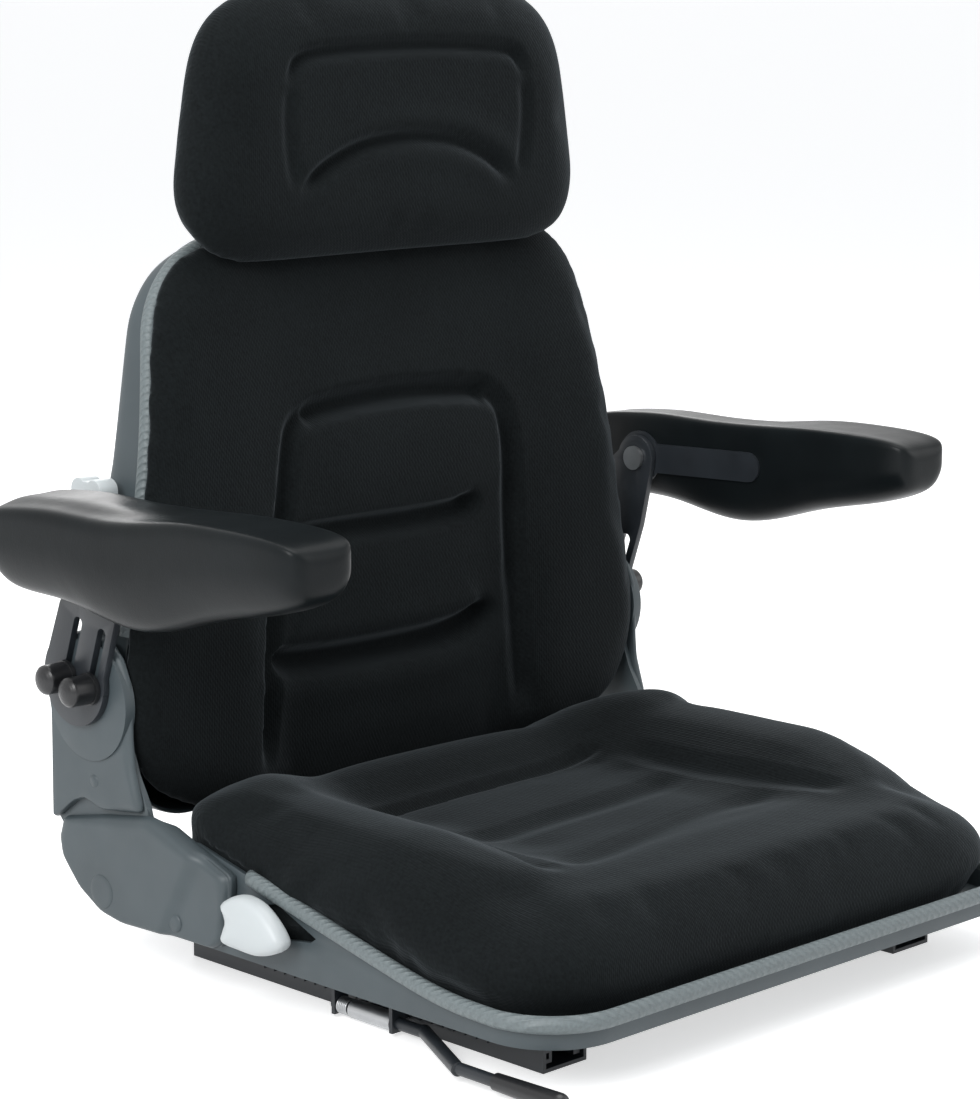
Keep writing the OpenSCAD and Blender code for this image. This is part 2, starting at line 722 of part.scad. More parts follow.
trim_out = 4;
trim_low = 226;
module back_trim() {
    color(grey_trim) difference() {
        intersection() {
            along_y(150, 260) back_front_view(trim_out);
            along_x(-back_half - 9, back_half + 9) back_trim_view(-5, 3);
            translate([-reach, 0, trim_low]) cube([2 * reach, reach, reach]);
        }
        along_y(140, 261) back_front_view(-1);
        intersection() {
            along_y(140, 261) back_front_view(0);
            along_x(-back_half - 9, back_half + 9) back_side_view(0, -20);
        }
    }
}
module back_trim_view(from, to) {
    n = 16;
    zs = [for (k = [0:n]) mix(trim_low - 2, back_top + 10, k / n)];
    front = [for (z = zs) [back_edge(z) + from, z]];
    polygon(concat(front, [for (k = [n:-1:0]) [back_edge(zs[k]) + to, zs[k]]]));
}

// Depth of the backrest cushion's front
function back_front(x, z) = back_edge(z) - back_bolster
    + (back_hollow - 13 * step01((z - 200) / 150)) * (1 - step01((abs(x) - 95) / 50));
// The flat back of the backrest cushion
function cushion_back(z) = 185 + 0.045 * (z - back_bottom);

back_m = 13;
back_n = 7;
cushion_top = back_top - shell_wall - 0.5;
cushion_low = back_bottom;
function back_ring(inset, t) = [for (i = [0:4 * back_m - 1])
    let(p = round_square(i, back_m, back_n),
        z = (cushion_top + cushion_low) / 2 + p.y * ((cushion_top - cushion_low) / 2 - max(inset, 0)),
        half = back_width(z) - shell_wall - 0.5 - inset,
        x = p.x * half)
    [x, t < 0 ? cushion_back(z) : mix(back_edge(z) - 6, back_front(x, z), t), z]];
back_round = 38;
module back_cushion() {
    insets = [4, 11, 20, 32, 48, 72, 100, 132, 160];
    color(cloth_black) loft(concat(
        [back_ring(20, -1), back_ring(0, -1), back_ring(0, 0), back_ring(-4, 0.1), back_ring(-8, 0.28)],
        [for (d = insets) back_ring(d - 8, max(0.45, rounded(d / back_round)))]));
}

// Lumbar support

knob_lobes = 6;
lumbar_knob_r = 24;
lumbar_wall_x = back_width(lumbar_axis[1]);
lumbar_hub_r = 11;
// the shell is wider under the axis, so each round part keeps clear of it by its own radius
lumbar_hub_in = lumbar_wall_x + back_taper * lumbar_hub_r + slip;
lumbar_knob_in = lumbar_wall_x + back_taper * lumbar_knob_r + slip;
lumbar_knob_out = lumbar_knob_in + 15;
module lumbar_knob() {
    color(white_plastic) difference() {
        union() {
            plate_x(left, lumbar_knob_in, lumbar_knob_out) translate(lumbar_axis) {
                circle(lumbar_knob_r - 4);
                for (k = [0:knob_lobes - 1]) rotate(k * 360 / knob_lobes)
                    translate([lumbar_knob_r - 8, 0]) circle(8);
            }
            bar_x(left, lumbar_hub_in, lumbar_knob_in, lumbar_axis, 2 * lumbar_hub_r);
        }
        bar_x(left, lumbar_wall_x, lumbar_knob_out - 4, lumbar_axis, lumbar_d + 2 * fit);
    }
}
lumbar_end = 150;
module lumbar_shaft() {
    color(bare_steel) translate([-lumbar_knob_out + 4, lumbar_axis[0], lumbar_axis[1]])
        rotate([0, 90, 0]) cylinder(h = lumbar_knob_out - 4 + lumbar_end, d = lumbar_d);
}
cam_r = 10.8;
cam_off = 3;
cam_w = 15;
cam_places = [-75, 60];
module lumbar_cams() {
    color(black_plastic) for (x = cam_places) difference() {
        translate([x, lumbar_axis[0] - cam_off, lumbar_axis[1]]) rotate([0, 90, 0])
            cylinder(h = cam_w, r = cam_r);
        translate([x - cut, lumbar_axis[0], lumbar_axis[1]]) rotate([0, 90, 0])
            cylinder(h = cam_w + 2 * cut, d = lumbar_d + 2 * fit);
    }
}
lumbar_half = 140;    // half width of the plate that the cams push forward
lumbar_below = 50;
lumbar_above = 22;
module lumbar_plate() {
    top = lumbar_axis[1] + lumbar_above;
    color(bare_steel) along_y(cushion_back(top) + slip, lumbar_axis[0] - cam_off - cam_r - slip)
        round_rect(-lumbar_half, lumbar_half, lumbar_axis[1] - lumbar_below, top, 15);
}
module lumbar_bearing() {
    foot = 9;
    color(black_plastic) difference() {
        along_x(lumbar_end - 14, lumbar_end) intersection() {
            translate([lumbar_axis[0] - foot, lumbar_axis[1] - foot]) square([60, 2 * foot]);
            back_open_view(shell_wall);
        }
        translate([lumbar_end - 14 - cut, lumbar_axis[0], lumbar_axis[1]]) rotate([0, 90, 0])
            cylinder(h = 14 + 2 * cut, d = lumbar_d + 2 * fit);
    }
}

// Headrest

guide_length = 62;
post_low = back_top - 106;
post_high = head_top - 90;
plate_height = 38;
module headrest_guides() {
    color(black_plastic) each_post() difference() {
        union() {
            translate([0, 0, back_top + 0.2 - guide_length]) cylinder(h = guide_length, d = guide_d - 0.1);
            translate([0, 0, back_top + 0.2]) cylinder(h = 1.4, d = guide_d + 2);
        }
        translate([0, 0, back_top - guide_length - cut]) cylinder(h = guide_length + 4, d = post_d + 2 * fit);
    }
}
module headrest_posts() {
    color(bare_steel) each_post() translate([0, 0, post_low]) cylinder(h = post_high - post_low, d = post_d);
}
head_split = 205;
module headrest_plate() {
    color(black_steel) along_y(post_y + post_d / 2, post_y + post_d / 2 + 2)
        round_rect(-post_spacing / 2 - 18, post_spacing / 2 + 18, post_high - plate_height, post_high, 8);
}

// Half width of the headrest at a height, and its underside at a depth
head_wide_z = head_top - 127;
function head_width(z) = head_half - 0.22 * max(0, z - head_wide_z);
head_low_front = back_top - 8;
head_low_rear = back_top + 3;
function head_low(y) = mix(head_low_front, head_low_rear, step01((y - 172) / 8));
head_m = 10;
head_n_top = 4.2;
head_n_low = 6;       // the lower corners are squarer
// A closed outline of the headrest at a depth, smaller than the widest one by an inset
function head_ring(y, inset, out = 0) = [for (i = [0:4 * head_m - 1])
    let(p = round_square(i, head_m, square_point(i, head_m).y < 0 ? head_n_low : head_n_top),
        low = head_low(y),
        z = (head_top + low) / 2 + p.y * ((head_top - low) / 2 - inset + out))
    [p.x * (head_width(z) - inset + out), y, z]];
// Depth and inset of each outline, from the back of the shell to the front of the pad
shell_stations = [[232, 62], [231, 50], [227, 40], [220, 31], [212, 24], [205, 19]];
head_stations = [[205, 60], [205, 19], [197, 9], [189, 3], [181, 0], [173, 0.5], [166, 3], [159, 8],
    [153, 15], [149, 24], [147, 36], [147.5, 54], [149, 74]];
module headrest_pad() {
    color(cloth_black) loft([for (s = head_stations)
        head_ring(s[0] - (s[0] == head_split ? seat_gap : 0), s[1])]);
}

head_wall = 3;
module headrest_shell() {
    last = len(shell_stations) - 1;
    color(grey_paint) difference() {
        loft([for (s = shell_stations) head_ring(s[0], s[1])]);
        loft([for (k = [1:last]) let(s = shell_stations[k])
            head_ring(k == last ? s[0] - cut : s[0] - (k == 1 ? head_wall : 1.5), s[1], -head_wall)]);
        each_post() translate([0, 0, head_low_rear]) cylinder(h = 60, d = post_d + 0.4);
    }
}

// Armrests

module armrest_bracket(side) {
    r_top = 17;
    up = [-sin(slot_tilt), cos(slot_tilt)];
    low_mid = [207, 197];
    outline = [[239, 200], [220, 247], [arm_pivot[0] + 24, 292], [arm_pivot[0] + 16, arm_pivot[1] + 5],
        [arm_pivot[0] - 16.5, arm_pivot[1] - 4], [161, 243], [175.5, 200], [175.5, 190], [239, 190]];
    color(black_steel) difference() {
        plate_x(side, armrest_in, armrest_out) {
            polygon(outline);
            translate(arm_pivot) circle(r_top);
            translate([low_mid[0], 196]) circle(31.8);
        }
        bar_x(side, armrest_in - cut, armrest_out + cut, arm_pivot, pin_d + 2 * fit);
        plate_x(side, armrest_in - cut, armrest_out + cut)
            for (p = [knob_a, knob_b]) slot(p, p + armrest_travel * up, slot_w);
    }
}
module armrest_bracket_left() { armrest_bracket(left); }
module armrest_bracket_right() { armrest_bracket(right); }

stud_tip = armrest_out + slip + 18;
module armrest_studs(side) {
    color(bare_steel) for (p = [knob_a, knob_b]) bar_x(side, arm_in, stud_tip, p, stud_d);
}
module armrest_studs_left() { armrest_studs(left); }
module armrest_studs_right() { armrest_studs(right); }

dome_h = 5;
// Half profile of a clamping knob: flange, grip, dome and the blind hole for its stud
module knob_profile() {
    r = knob_d / 2;
    hole = stud_d / 2 + fit;
    deep = stud_tip + 0.2 - armrest_out - slip;
    n = 6;
    polygon(concat([[hole, 0], [r + 1, 0], [r + 1, 3], [r, 3]],
        [for (k = [0:n]) let(a = 90 * k / n) [r * cos(a), knob_length - dome_h + dome_h * sin(a)]],
        [[0, deep], [hole, deep]]));
}
module armrest_knobs(side) {
    x0 = armrest_out + slip;
    color(black_plastic) for (p = [knob_a, knob_b])
        translate([side * x0, p[0], p[1]]) rotate([0, side * 90, 0]) rotate_extrude() knob_profile();
}
module armrest_knobs_left() { armrest_knobs(left); }
module armrest_knobs_right() { armrest_knobs(right); }

pin_head = 18;
module armrest_pin(side) {
    color(bare_steel) {
        bar_x(side, armrest_in - 3.2, armrest_in - 0.2, arm_pivot, pin_head);
        bar_x(side, armrest_in - 0.2, hinge_out - 0.1, arm_pivot, pin_d);
    }
}
module armrest_pin_left() { armrest_pin(left); }
module armrest_pin_right() { armrest_pin(right); }

module armrest_hinge(side) {
    color(black_steel) difference() {
        plate_x(side, hinge_in, hinge_out) {
            translate(arm_pivot) circle(20);
            slot(arm_pivot, [60, 298], 22);
        }
        bar_x(side, hinge_in - cut, hinge_out + cut, arm_pivot, pin_d + 2 * fit);
    }
}
module armrest_hinge_left() { armrest_hinge(left); }
module armrest_hinge_right() { armrest_hinge(right); }

// Stations of an armrest pad from rear to tip: [y, underside, top, share of the full width]
pad_stations = [[225, 290, 307, 0.5], [223, 279, 317, 0.78], [216, 269, 323, 0.93], [203, 263, 327, 0.99],
    [185, 262, 329, 1], [155, 262, 331, 1], [130, 257, 330.5, 1], [105, 252, 330, 1], [80, 251, 330.5, 1],
    [55, 256, 331.5, 1], [30, 265, 333, 1], [5, 271, 334, 0.99], [-20, 276, 334, 0.96],
    [-45, 281, 333, 0.91], [-64, 287, 329, 0.83], [-76, 294, 323, 0.68], [-81, 302, 316, 0.45]];
pad_m = 7;
pad_n = 3.4;
module armrest_pad(side) {
    inner = hinge_out + seat_gap;
    half = armrest_width / 2;
    middle_x = inner + half;
    rings = [for (s = pad_stations) [for (i = [0:4 * pad_m - 1])
        let(p = round_square(i, pad_m, pad_n), mid = (s[1] + s[2]) / 2, rise = (s[2] - s[1]) / 2)
        [side * middle_x + p.x * half * s[3], s[0], mid + p.y * rise]]];
    color(foam_black) loft([for (k = [len(rings) - 1:-1:0]) rings[k]]);
}
module armrest_pad_left() { armrest_pad(left); }
module armrest_pad_right() { armrest_pad(right); }

lower_rail_left();
lower_rail_right();
lock_rack();
upper_rail_left();
upper_rail_right();
rail_shoes();
rail_screws();
rail_nuts();
handle_bracket();
slide_handle();
handle_grip();
latch_plate();
latch_spring();
seat_pan();
seat_trim();
seat_cushion();
recliner_bracket_left();
recliner_bracket_right();
bracket_rivets();
recliner_cover_left();
recliner_cover_right();
recliner_shaft();
pivot_caps();
recline_spring();
recline_lever();
lever_shaft();
recline_pawl();
lever_spring();
recliner_arm_left();
recliner_arm_right();
arm_rivets();
back_shell();
back_trim();
back_cushion();
lumbar_knob();
lumbar_shaft();
lumbar_cams();
lumbar_plate();
lumbar_bearing();
headrest_guides();
headrest_posts();
headrest_plate();
headrest_shell();
headrest_pad();
armrest_bracket_left();
armrest_bracket_right();
armrest_studs_left();
armrest_studs_right();
armrest_knobs_left();
armrest_knobs_right();
armrest_pin_left();
armrest_pin_right();
armrest_hinge_left();
armrest_hinge_right();
armrest_pad_left();
armrest_pad_right();
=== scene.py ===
import json
import math

import bmesh
import bpy
import numpy as np
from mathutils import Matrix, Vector

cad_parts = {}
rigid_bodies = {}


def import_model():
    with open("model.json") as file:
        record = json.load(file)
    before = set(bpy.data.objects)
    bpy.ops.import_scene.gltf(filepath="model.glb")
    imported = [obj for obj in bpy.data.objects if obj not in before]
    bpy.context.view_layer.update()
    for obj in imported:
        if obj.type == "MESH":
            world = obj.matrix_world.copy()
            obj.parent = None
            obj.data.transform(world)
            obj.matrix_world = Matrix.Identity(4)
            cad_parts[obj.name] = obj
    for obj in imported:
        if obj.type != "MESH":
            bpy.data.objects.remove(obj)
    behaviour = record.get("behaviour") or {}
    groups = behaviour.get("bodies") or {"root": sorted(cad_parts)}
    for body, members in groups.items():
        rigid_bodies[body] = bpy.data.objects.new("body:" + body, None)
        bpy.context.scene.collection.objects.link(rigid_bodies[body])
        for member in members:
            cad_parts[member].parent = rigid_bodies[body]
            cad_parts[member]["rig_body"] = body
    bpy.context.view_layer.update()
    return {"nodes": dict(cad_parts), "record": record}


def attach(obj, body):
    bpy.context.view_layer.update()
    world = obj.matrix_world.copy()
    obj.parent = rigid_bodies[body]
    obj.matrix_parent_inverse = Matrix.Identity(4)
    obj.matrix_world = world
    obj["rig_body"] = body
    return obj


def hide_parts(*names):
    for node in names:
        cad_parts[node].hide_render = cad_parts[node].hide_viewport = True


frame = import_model()
nodes = frame["nodes"]
MM = 0.001


# ---- camera -------------------------------------------------------------
cam_data = bpy.data.cameras.new("camera")
cam_data.lens = 105.33
cam_data.sensor_width = 36
cam_data.sensor_fit = "AUTO"
cam_data.clip_end = 50
cam = bpy.data.objects.new("camera", cam_data)
cam.location = (-1.521, -1.467, 0.668)
cam.rotation_euler = (math.radians(90 - 10.47), 0, math.radians(-44.68))
bpy.context.scene.collection.objects.link(cam)
bpy.context.scene.camera = cam
bpy.context.scene.view_settings.view_transform = "Standard"


# ---- materials ----------------------------------------------------------
class Nodes:
    """A material's node tree, with short calls for the few nodes used here."""

    def __init__(self, name, color, rough, metal=0.0, spec=0.5):
        self.mat = bpy.data.materials.new(name)
        self.mat.use_nodes = True
        self.tree = self.mat.node_tree
        self.shader = self.tree.nodes["Principled BSDF"]
        self.set("Base Color", (*color, 1))
        self.set("Roughness", rough)
        self.set("Metallic", metal)
        self.set("Specular IOR Level", spec)
        self.coord = self.node("ShaderNodeTexCoord").outputs["Object"]
        self.normal = None

    def set(self, socket, value):
        self.shader.inputs[socket].default_value = value

    def node(self, kind, **inputs):
        n = self.tree.nodes.new(kind)
        for k, v in inputs.items():
            n.inputs[k.replace("_", " ")].default_value = v
        return n

    def link(self, a, b):
        self.tree.links.new(a, b)

    def mapped(self, scale=(1, 1, 1), turn=(0, 0, 0)):
        m = self.node("ShaderNodeMapping")
        m.inputs["Scale"].default_value = scale
        m.inputs["Rotation"].default_value = turn
        self.link(self.coord, m.inputs["Vector"])
        return m.outputs["Vector"]

    def noise(self, scale, detail=3.0, stretch=None):
        n = self.node("ShaderNodeTexNoise", Scale=scale, Detail=detail)
        self.link(self.mapped(stretch) if stretch else self.coord, n.inputs["Vector"])
        return n.outputs["Fac"]

    def wave(self, scale, direction, turn=None):
        n = self.node("ShaderNodeTexWave", Scale=scale, Distortion=0.0)
        n.bands_direction = direction
        self.link(self.mapped(turn=turn) if turn else self.coord, n.inputs["Vector"])
        return n.outputs["Fac"]

    def voronoi(self, scale):
        n = self.node("ShaderNodeTexVoronoi", Scale=scale)
        self.link(self.coord, n.inputs["Vector"])
        return n.outputs["Distance"]

    def ramp(self, fac, stops):
        n = self.node("ShaderNodeValToRGB")
        e = n.color_ramp.elements
        e[0].position, e[0].color = stops[0][0], (*stops[0][1], 1)
        e[1].position, e[1].color = stops[-1][0], (*stops[-1][1], 1)
        for p, c in stops[1:-1]:
            m = e.new(p)
            m.color = (*c, 1)
        self.link(fac, n.inputs["Fac"])
        return n.outputs["Color"]

    def maths(self, op, a, b):
        n = self.node("ShaderNodeMath")
        n.operation = op
        for k, v in ((0, a), (1, b)):
            if isinstance(v, (int, float)):
                n.inputs[k].default_value = v
            else:
                self.link(v, n.inputs[k])
        return n.outputs[0]

    def bump(self, height, strength, distance):
        n = self.node("ShaderNodeBump", Strength=strength, Distance=distance)
        self.link(height, n.inputs["Height"])
        if self.normal is not None:
            self.link(self.normal, n.inputs["Normal"])
        self.normal = n.outputs["Normal"]
        self.link(self.normal, self.shader.inputs["Normal"])

    def color(self, out):
        self.link(out, self.shader.inputs["Base Color"])

    def rough(self, fac, low, high):
        n = self.node("ShaderNodeMapRange")
        n.inputs["To Min"].default_value = low
        n.inputs["To Max"].default_value = high
        self.link(fac, n.inputs["Value"])
        self.link(n.outputs[0], self.shader.inputs["Roughness"])


def shades(color, spread):
    """Three tones of a colour, from darker to lighter."""
    return [tuple(c * k for c in color) for k in (1 - spread, 1, 1 + spread)]


def cloth_material():
    color = (0.0066, 0.0084, 0.009)
    m = Nodes("black_cloth", color, 0.85, spec=0.08)
    a, b, c = shades(color, 0.35)
    fuzz = m.noise(420, 4)
    patches = m.noise(9, 3)
    mixed = m.maths("ADD", m.maths("MULTIPLY", fuzz, 0.6), m.maths("MULTIPLY", patches, 0.4))
    m.color(m.ramp(mixed, [(0.36, a), (0.5, b), (0.66, c)]))
    m.set("Sheen Weight", 0.15)
    m.set("Sheen Roughness", 0.4)
    m.set("Sheen Tint", (0.75, 0.85, 0.92, 1))
    warp = m.wave(210, "X")
    weft = m.wave(150, "DIAGONAL", turn=(0, 0, math.radians(45)))
    m.bump(m.maths("ADD", warp, weft), 0.35, 0.00025)
    m.bump(fuzz, 0.5, 0.0005)
    m.bump(m.noise(26, 3), 0.25, 0.0022)
    return m.mat


def plastic_material(name, color, rough, grain=900, depth=0.00012, spread=0.1, spec=0.5):
    m = Nodes(name, color, rough, spec=spec)
    a, b, c = shades(color, spread)
    tone = m.noise(14, 4)
    m.color(m.ramp(tone, [(0.35, a), (0.5, b), (0.68, c)]))
    m.rough(m.noise(60, 3), rough - 0.06, rough + 0.08)
    m.bump(m.noise(grain, 3), 0.35, depth)
    return m.mat


def trim_material():
    color = (0.155, 0.184, 0.190)
    m = Nodes("grey_trim", color, 0.5, spec=0.5)
    a, b, c = shades(color, 0.12)
    m.color(m.ramp(m.noise(500, 3), [(0.3, a), (0.5, b), (0.7, c)]))
    rib = m.wave(95, "DIAGONAL")
    cross = m.wave(95, "DIAGONAL", turn=(math.radians(90), 0, math.radians(90)))
    m.bump(m.maths("MULTIPLY", rib, cross), 0.6, 0.0008)
    m.bump(m.voronoi(700), 0.3, 0.00025)
    return m.mat


def skin_material():
    color = (0.0065, 0.0086, 0.0096)
    m = Nodes("armrest_skin", color, 0.34, spec=0.14)
    a, b, c = shades(color, 0.18)
    m.color(m.ramp(m.noise(22, 5), [(0.3, a), (0.5, b), (0.7, c)]))
    m.rough(m.noise(40, 4), 0.27, 0.4)
    m.bump(m.voronoi(900), 0.22, 0.00018)
    m.bump(m.noise(35, 4), 0.16, 0.0016)
    return m.mat


def painted_material():
    color = (0.020, 0.0245, 0.030)
    m = Nodes("black_paint", color, 0.36, spec=0.5)
    worn = m.noise(38, 6)
    m.color(m.ramp(worn, [(0.3, (0.014, 0.017, 0.021)), (0.6, color), (0.78, (0.046, 0.052, 0.058))]))
    m.rough(m.noise(25, 4), 0.3, 0.5)
    m.bump(m.noise(700, 2), 0.2, 0.00012)
    return m.mat


def steel_material():
    m = Nodes("bare_steel", (0.46, 0.47, 0.48), 0.34, metal=1.0)
    m.color(m.ramp(m.noise(30, 5), [(0.3, (0.36, 0.37, 0.38)), (0.7, (0.56, 0.57, 0.58))]))
    m.rough(m.noise(300, 3, stretch=(1, 6, 1)), 0.26, 0.44)
    m.bump(m.noise(500, 2, stretch=(1, 8, 1)), 0.15, 0.0001)
    return m.mat


GREY = (0.056, 0.073, 0.081)
slot_material = {
    "black_cloth": cloth_material(),
    "grey_plastic": plastic_material("grey_plastic", GREY, 0.46),
    "grey_trim": trim_material(),
    "armrest_skin": skin_material(),
    "black_steel": painted_material(),
    "bare_steel": steel_material(),
    "white_plastic": plastic_material("white_plastic", (0.60, 0.64, 0.65), 0.38, depth=0.00005, spread=0.02),
    "black_plastic": plastic_material("black_plastic", (0.012, 0.0125, 0.014), 0.3, spread=0.15),
}
for part in frame["record"]["subparts"]:
    ob = nodes[part["node"]]
    ob.data.materials.clear()
    ob.data.materials.append(slot_material[part["material_slot"]])


# ---- mesh helpers -------------------------------------------------------
def step01(t):
    """A smooth step from 0 to 1."""
    t = np.clip(t, 0, 1)
    return t * t * (3 - 2 * t)


def softplus(t):
    """A smooth bend from 0 to a slope of 1."""
    return np.log1p(np.exp(np.minimum(t, 30)))


def add_object(name, verts, faces, slot, body):
    """A new mesh piece, from points in millimetres."""
    me = bpy.data.meshes.new(name)
    me.from_pydata([tuple(float(c) * MM for c in v) for v in verts], [], faces)
    me.update()
    bm = bmesh.new()
    bm.from_mesh(me)
    bmesh.ops.recalc_face_normals(bm, faces=bm.faces)
    bm.to_mesh(me)
    bm.free()
    ob = bpy.data.objects.new(name, me)
    bpy.context.scene.collection.objects.link(ob)
    me.shade_smooth()
    me.materials.append(slot_material[slot])
    ob["slot_name"] = slot
    ob["body_name"] = body
    return ob


def place(ob, *replaced):
    """Final bookkeeping of a piece: its body, and the CAD nodes that it stands for, which are hidden."""
    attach(ob, ob["body_name"])
    if replaced:
        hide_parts(*replaced)
    return ob


def loft(name, rings, slot, body):
    """A closed solid through equal rings of points; each end closes on a point in its middle."""
    rings = [np.asarray(r, float) for r in rings]
    m = len(rings[0])
    verts = [p for r in rings for p in r]
    faces = []
    for k in range(len(rings) - 1):
        for i in range(m):
            j = (i + 1) % m
            faces.append((k * m + i, k * m + j, (k + 1) * m + j, (k + 1) * m + i))
    for k in (0, len(rings) - 1):
        c = len(verts)
        verts.append(rings[k].mean(0))
        for i in range(m):
            faces.append((k * m + i, k * m + (i + 1) % m, c))
    return add_object(name, verts, faces, slot, body)


def modify(ob, kind, **settings):
    """Adds a modifier, applies it at once and leaves a plain mesh."""
    mod = ob.modifiers.new(kind.lower(), kind)
    for k, v in settings.items():
        setattr(mod, k, v)
    apply_all(ob)


def apply_all(ob):
    deps = bpy.context.evaluated_depsgraph_get()
    new = bpy.data.meshes.new_from_object(ob.evaluated_get(deps))
    old = ob.data
    ob.modifiers.clear()
    ob.data = new
    bpy.data.meshes.remove(old)
    ob.data.shade_smooth()


def points_of(ob):
    co = np.zeros(len(ob.data.vertices) * 3, np.float64)
    ob.data.vertices.foreach_get("co", co)
    return co.reshape(-1, 3) / MM


def normals_of(ob):
    n = np.zeros(len(ob.data.vertices) * 3, np.float32)
    ob.data.vertex_normals.foreach_get("vector", n)
    return n.reshape(-1, 3).astype(float)


def set_points(ob, co):
    ob.data.vertices.foreach_set("co", (np.asarray(co) * MM).astype(np.float32).ravel())
    ob.data.update()


CLOTH_FRAMES = 20


def swell(ob, voxel, cap):
    """Voxel remesh, a short run of cloth under pressure, and a cap on how far a point may go."""
    modify(ob, "REMESH", mode="VOXEL", voxel_size=voxel * MM)
    modify(ob, "SMOOTH", factor=0.5, iterations=3)
    rest = points_of(ob)
    mod = ob.modifiers.new("cloth", "CLOTH")
    s = mod.settings
    s.quality = 4
    s.mass = 0.3
    s.tension_stiffness = 15
    s.compression_stiffness = 15
    s.shear_stiffness = 5
    s.bending_stiffness = 2.0
    s.use_pressure = True
    s.uniform_pressure_force = 4.0
    s.effector_weights.gravity = 0
    mod.collision_settings.use_self_collision = False
    scene = bpy.context.scene
    for f in range(1, CLOTH_FRAMES + 1):
        scene.frame_set(f)
    apply_all(ob)
    scene.frame_set(1)
    moved = points_of(ob) - rest
    far = np.linalg.norm(moved, axis=1)
    keep = np.minimum(1.0, cap / np.maximum(far, 1e-9))
    set_points(ob, rest + moved * keep[:, None])
    modify(ob, "SMOOTH", factor=0.5, iterations=4)
    modify(ob, "SUBSURF", levels=1, render_levels=1)


def refit(ob, axis, low, high):
    """Stretches a swollen piece along one axis to the size that it has on the real seat."""
    co = points_of(ob)
    a, b = co[:, axis].min(), co[:, axis].max()
    co[:, axis] = low + (co[:, axis] - a) * (high - low) / (b - a)
    set_points(ob, co)


def nearest(px, pz, path):
    """Distance of points to a polyline, and how far along it the nearest place is, from 0 to 1."""
    path = np.asarray(path, float)
    total = np.linalg.norm(np.diff(path, axis=0), axis=1).sum()
    best = np.full(len(px), 1e9)
    at = np.zeros(len(px))
    run = 0.0
    for a, b in zip(path[:-1], path[1:]):
        d = b - a
        length = np.linalg.norm(d)
        t = np.clip(((px - a[0]) * d[0] + (pz - a[1]) * d[1]) / length**2, 0, 1)
        dist = np.hypot(px - a[0] - t * d[0], pz - a[1] - t * d[1])
        closer = dist < best
        best = np.where(closer, dist, best)
        at = np.where(closer, (run + t * length) / total, at)
        run += length
    return best, at


def curve_points(corners, per=8):
    """A smooth line through given points."""
    p = [np.asarray(c, float) for c in corners]
    p = [2 * p[0] - p[1]] + p + [2 * p[-1] - p[-2]]
    out = []
    for k in range(1, len(p) - 2):
        for i in range(per):
            t = i / per
            out.append(0.5 * (2 * p[k] + (p[k + 1] - p[k - 1]) * t
                              + (2 * p[k - 1] - 5 * p[k] + 4 * p[k + 1] - p[k + 2]) * t * t
                              + (-p[k - 1] + 3 * p[k] - 3 * p[k + 1] + p[k + 2]) * t ** 3))
    out.append(p[-2])
    return np.array(out)


def carve(ob, grooves, axes, facing):
    """Presses sewn channels into a cushion. Each is (path, depth, half width, fade at the ends)."""
    co = points_of(ob)
    n = normals_of(ob)
    u, v = co[:, axes[0]], co[:, axes[1]]
    front = step01((n @ np.asarray(facing, float) - 0.15) / 0.4)
    total = np.zeros(len(co))
    for path, depth, width, fade in grooves:
        d, t = nearest(u, v, curve_points(path))
        ends = step01(t / fade) * step01((1 - t) / fade) if fade else 1.0
        cut = depth * np.exp(-((d / width) ** 2)) * ends
        roll = -0.16 * depth * np.exp(-(((d - 2.6 * width) / (1.5 * width)) ** 2)) * ends
        total = np.maximum(total, cut) + np.where(cut < 0.15 * depth, roll, 0)
    set_points(ob, co - n * (total * front)[:, None])


def puff(ob, spots, axes, facing):
    """Fills a panel out between its channels. Each is (middle u, v, reach u, v, height)."""
    co = points_of(ob)
    n = normals_of(ob)
    front = step01((n @ np.asarray(facing, float) - 0.15) / 0.4)
    lift = np.zeros(len(co))
    for cu, cv, ru, rv, height in spots:
        lift += height * np.exp(-(((co[:, axes[0]] - cu) / ru) ** 4) - ((co[:, axes[1]] - cv) / rv) ** 4)
    set_points(ob, co + n * (lift * front)[:, None])


def square_ring(m, n, n_low=None):
    """Points of a unit rounded square, counter-clockwise, evenly cut; its lower half may be squarer."""
    out = []
    for i in range(4 * m):
        side, f = i // m, 2 * (i % m) / m - 1
        x, y = [(1, f), (-f, 1), (-1, -f), (f, -1)][side]
        e = n_low if n_low and y < 0 else n
        k = (abs(x) ** e + abs(y) ** e) ** (1 / e)
        out.append((x / k, y / k))
    return np.array(out)


def sweep(name, path, profile, frames, slot, body):
    """A profile carried along a path. frames gives two unit directions at each path point."""
    rings = []
    for p, (u, v) in zip(path, frames):
        rings.append([p + a * u + b * v for a, b in profile])
    return loft(name, rings, slot, body)


# ---- shared lines of the CAD --------------------------------------------
RIM_BASE = 49.0


def rim_z(y):
    """Height of the pan's rim, which climbs towards the rear."""
    return RIM_BASE + 0.225 * 15 * softplus((y + 128) / 15)


def wall_z(y):
    """Top of the pan's wall, which drops again towards its rear end."""
    y = np.asarray(y, float)
    return rim_z(np.minimum(y, 110)) - 22 * step01((y - 110) / 64)


def back_edge(z):
    """How far back the front edge of the backrest shell stands."""
    return 177 + 5 * softplus((np.asarray(z, float) - 345) / 25)


def back_width(z):
    """Half width of the backrest."""
    return 236 - 0.178 * np.maximum(0, np.asarray(z, float) - 200)


def rounded(t):
    """A quarter circle, from 0 at the edge to 1 inside."""
    t = np.clip(t, 0, 1)
    return np.sqrt(1 - (1 - t) ** 2)


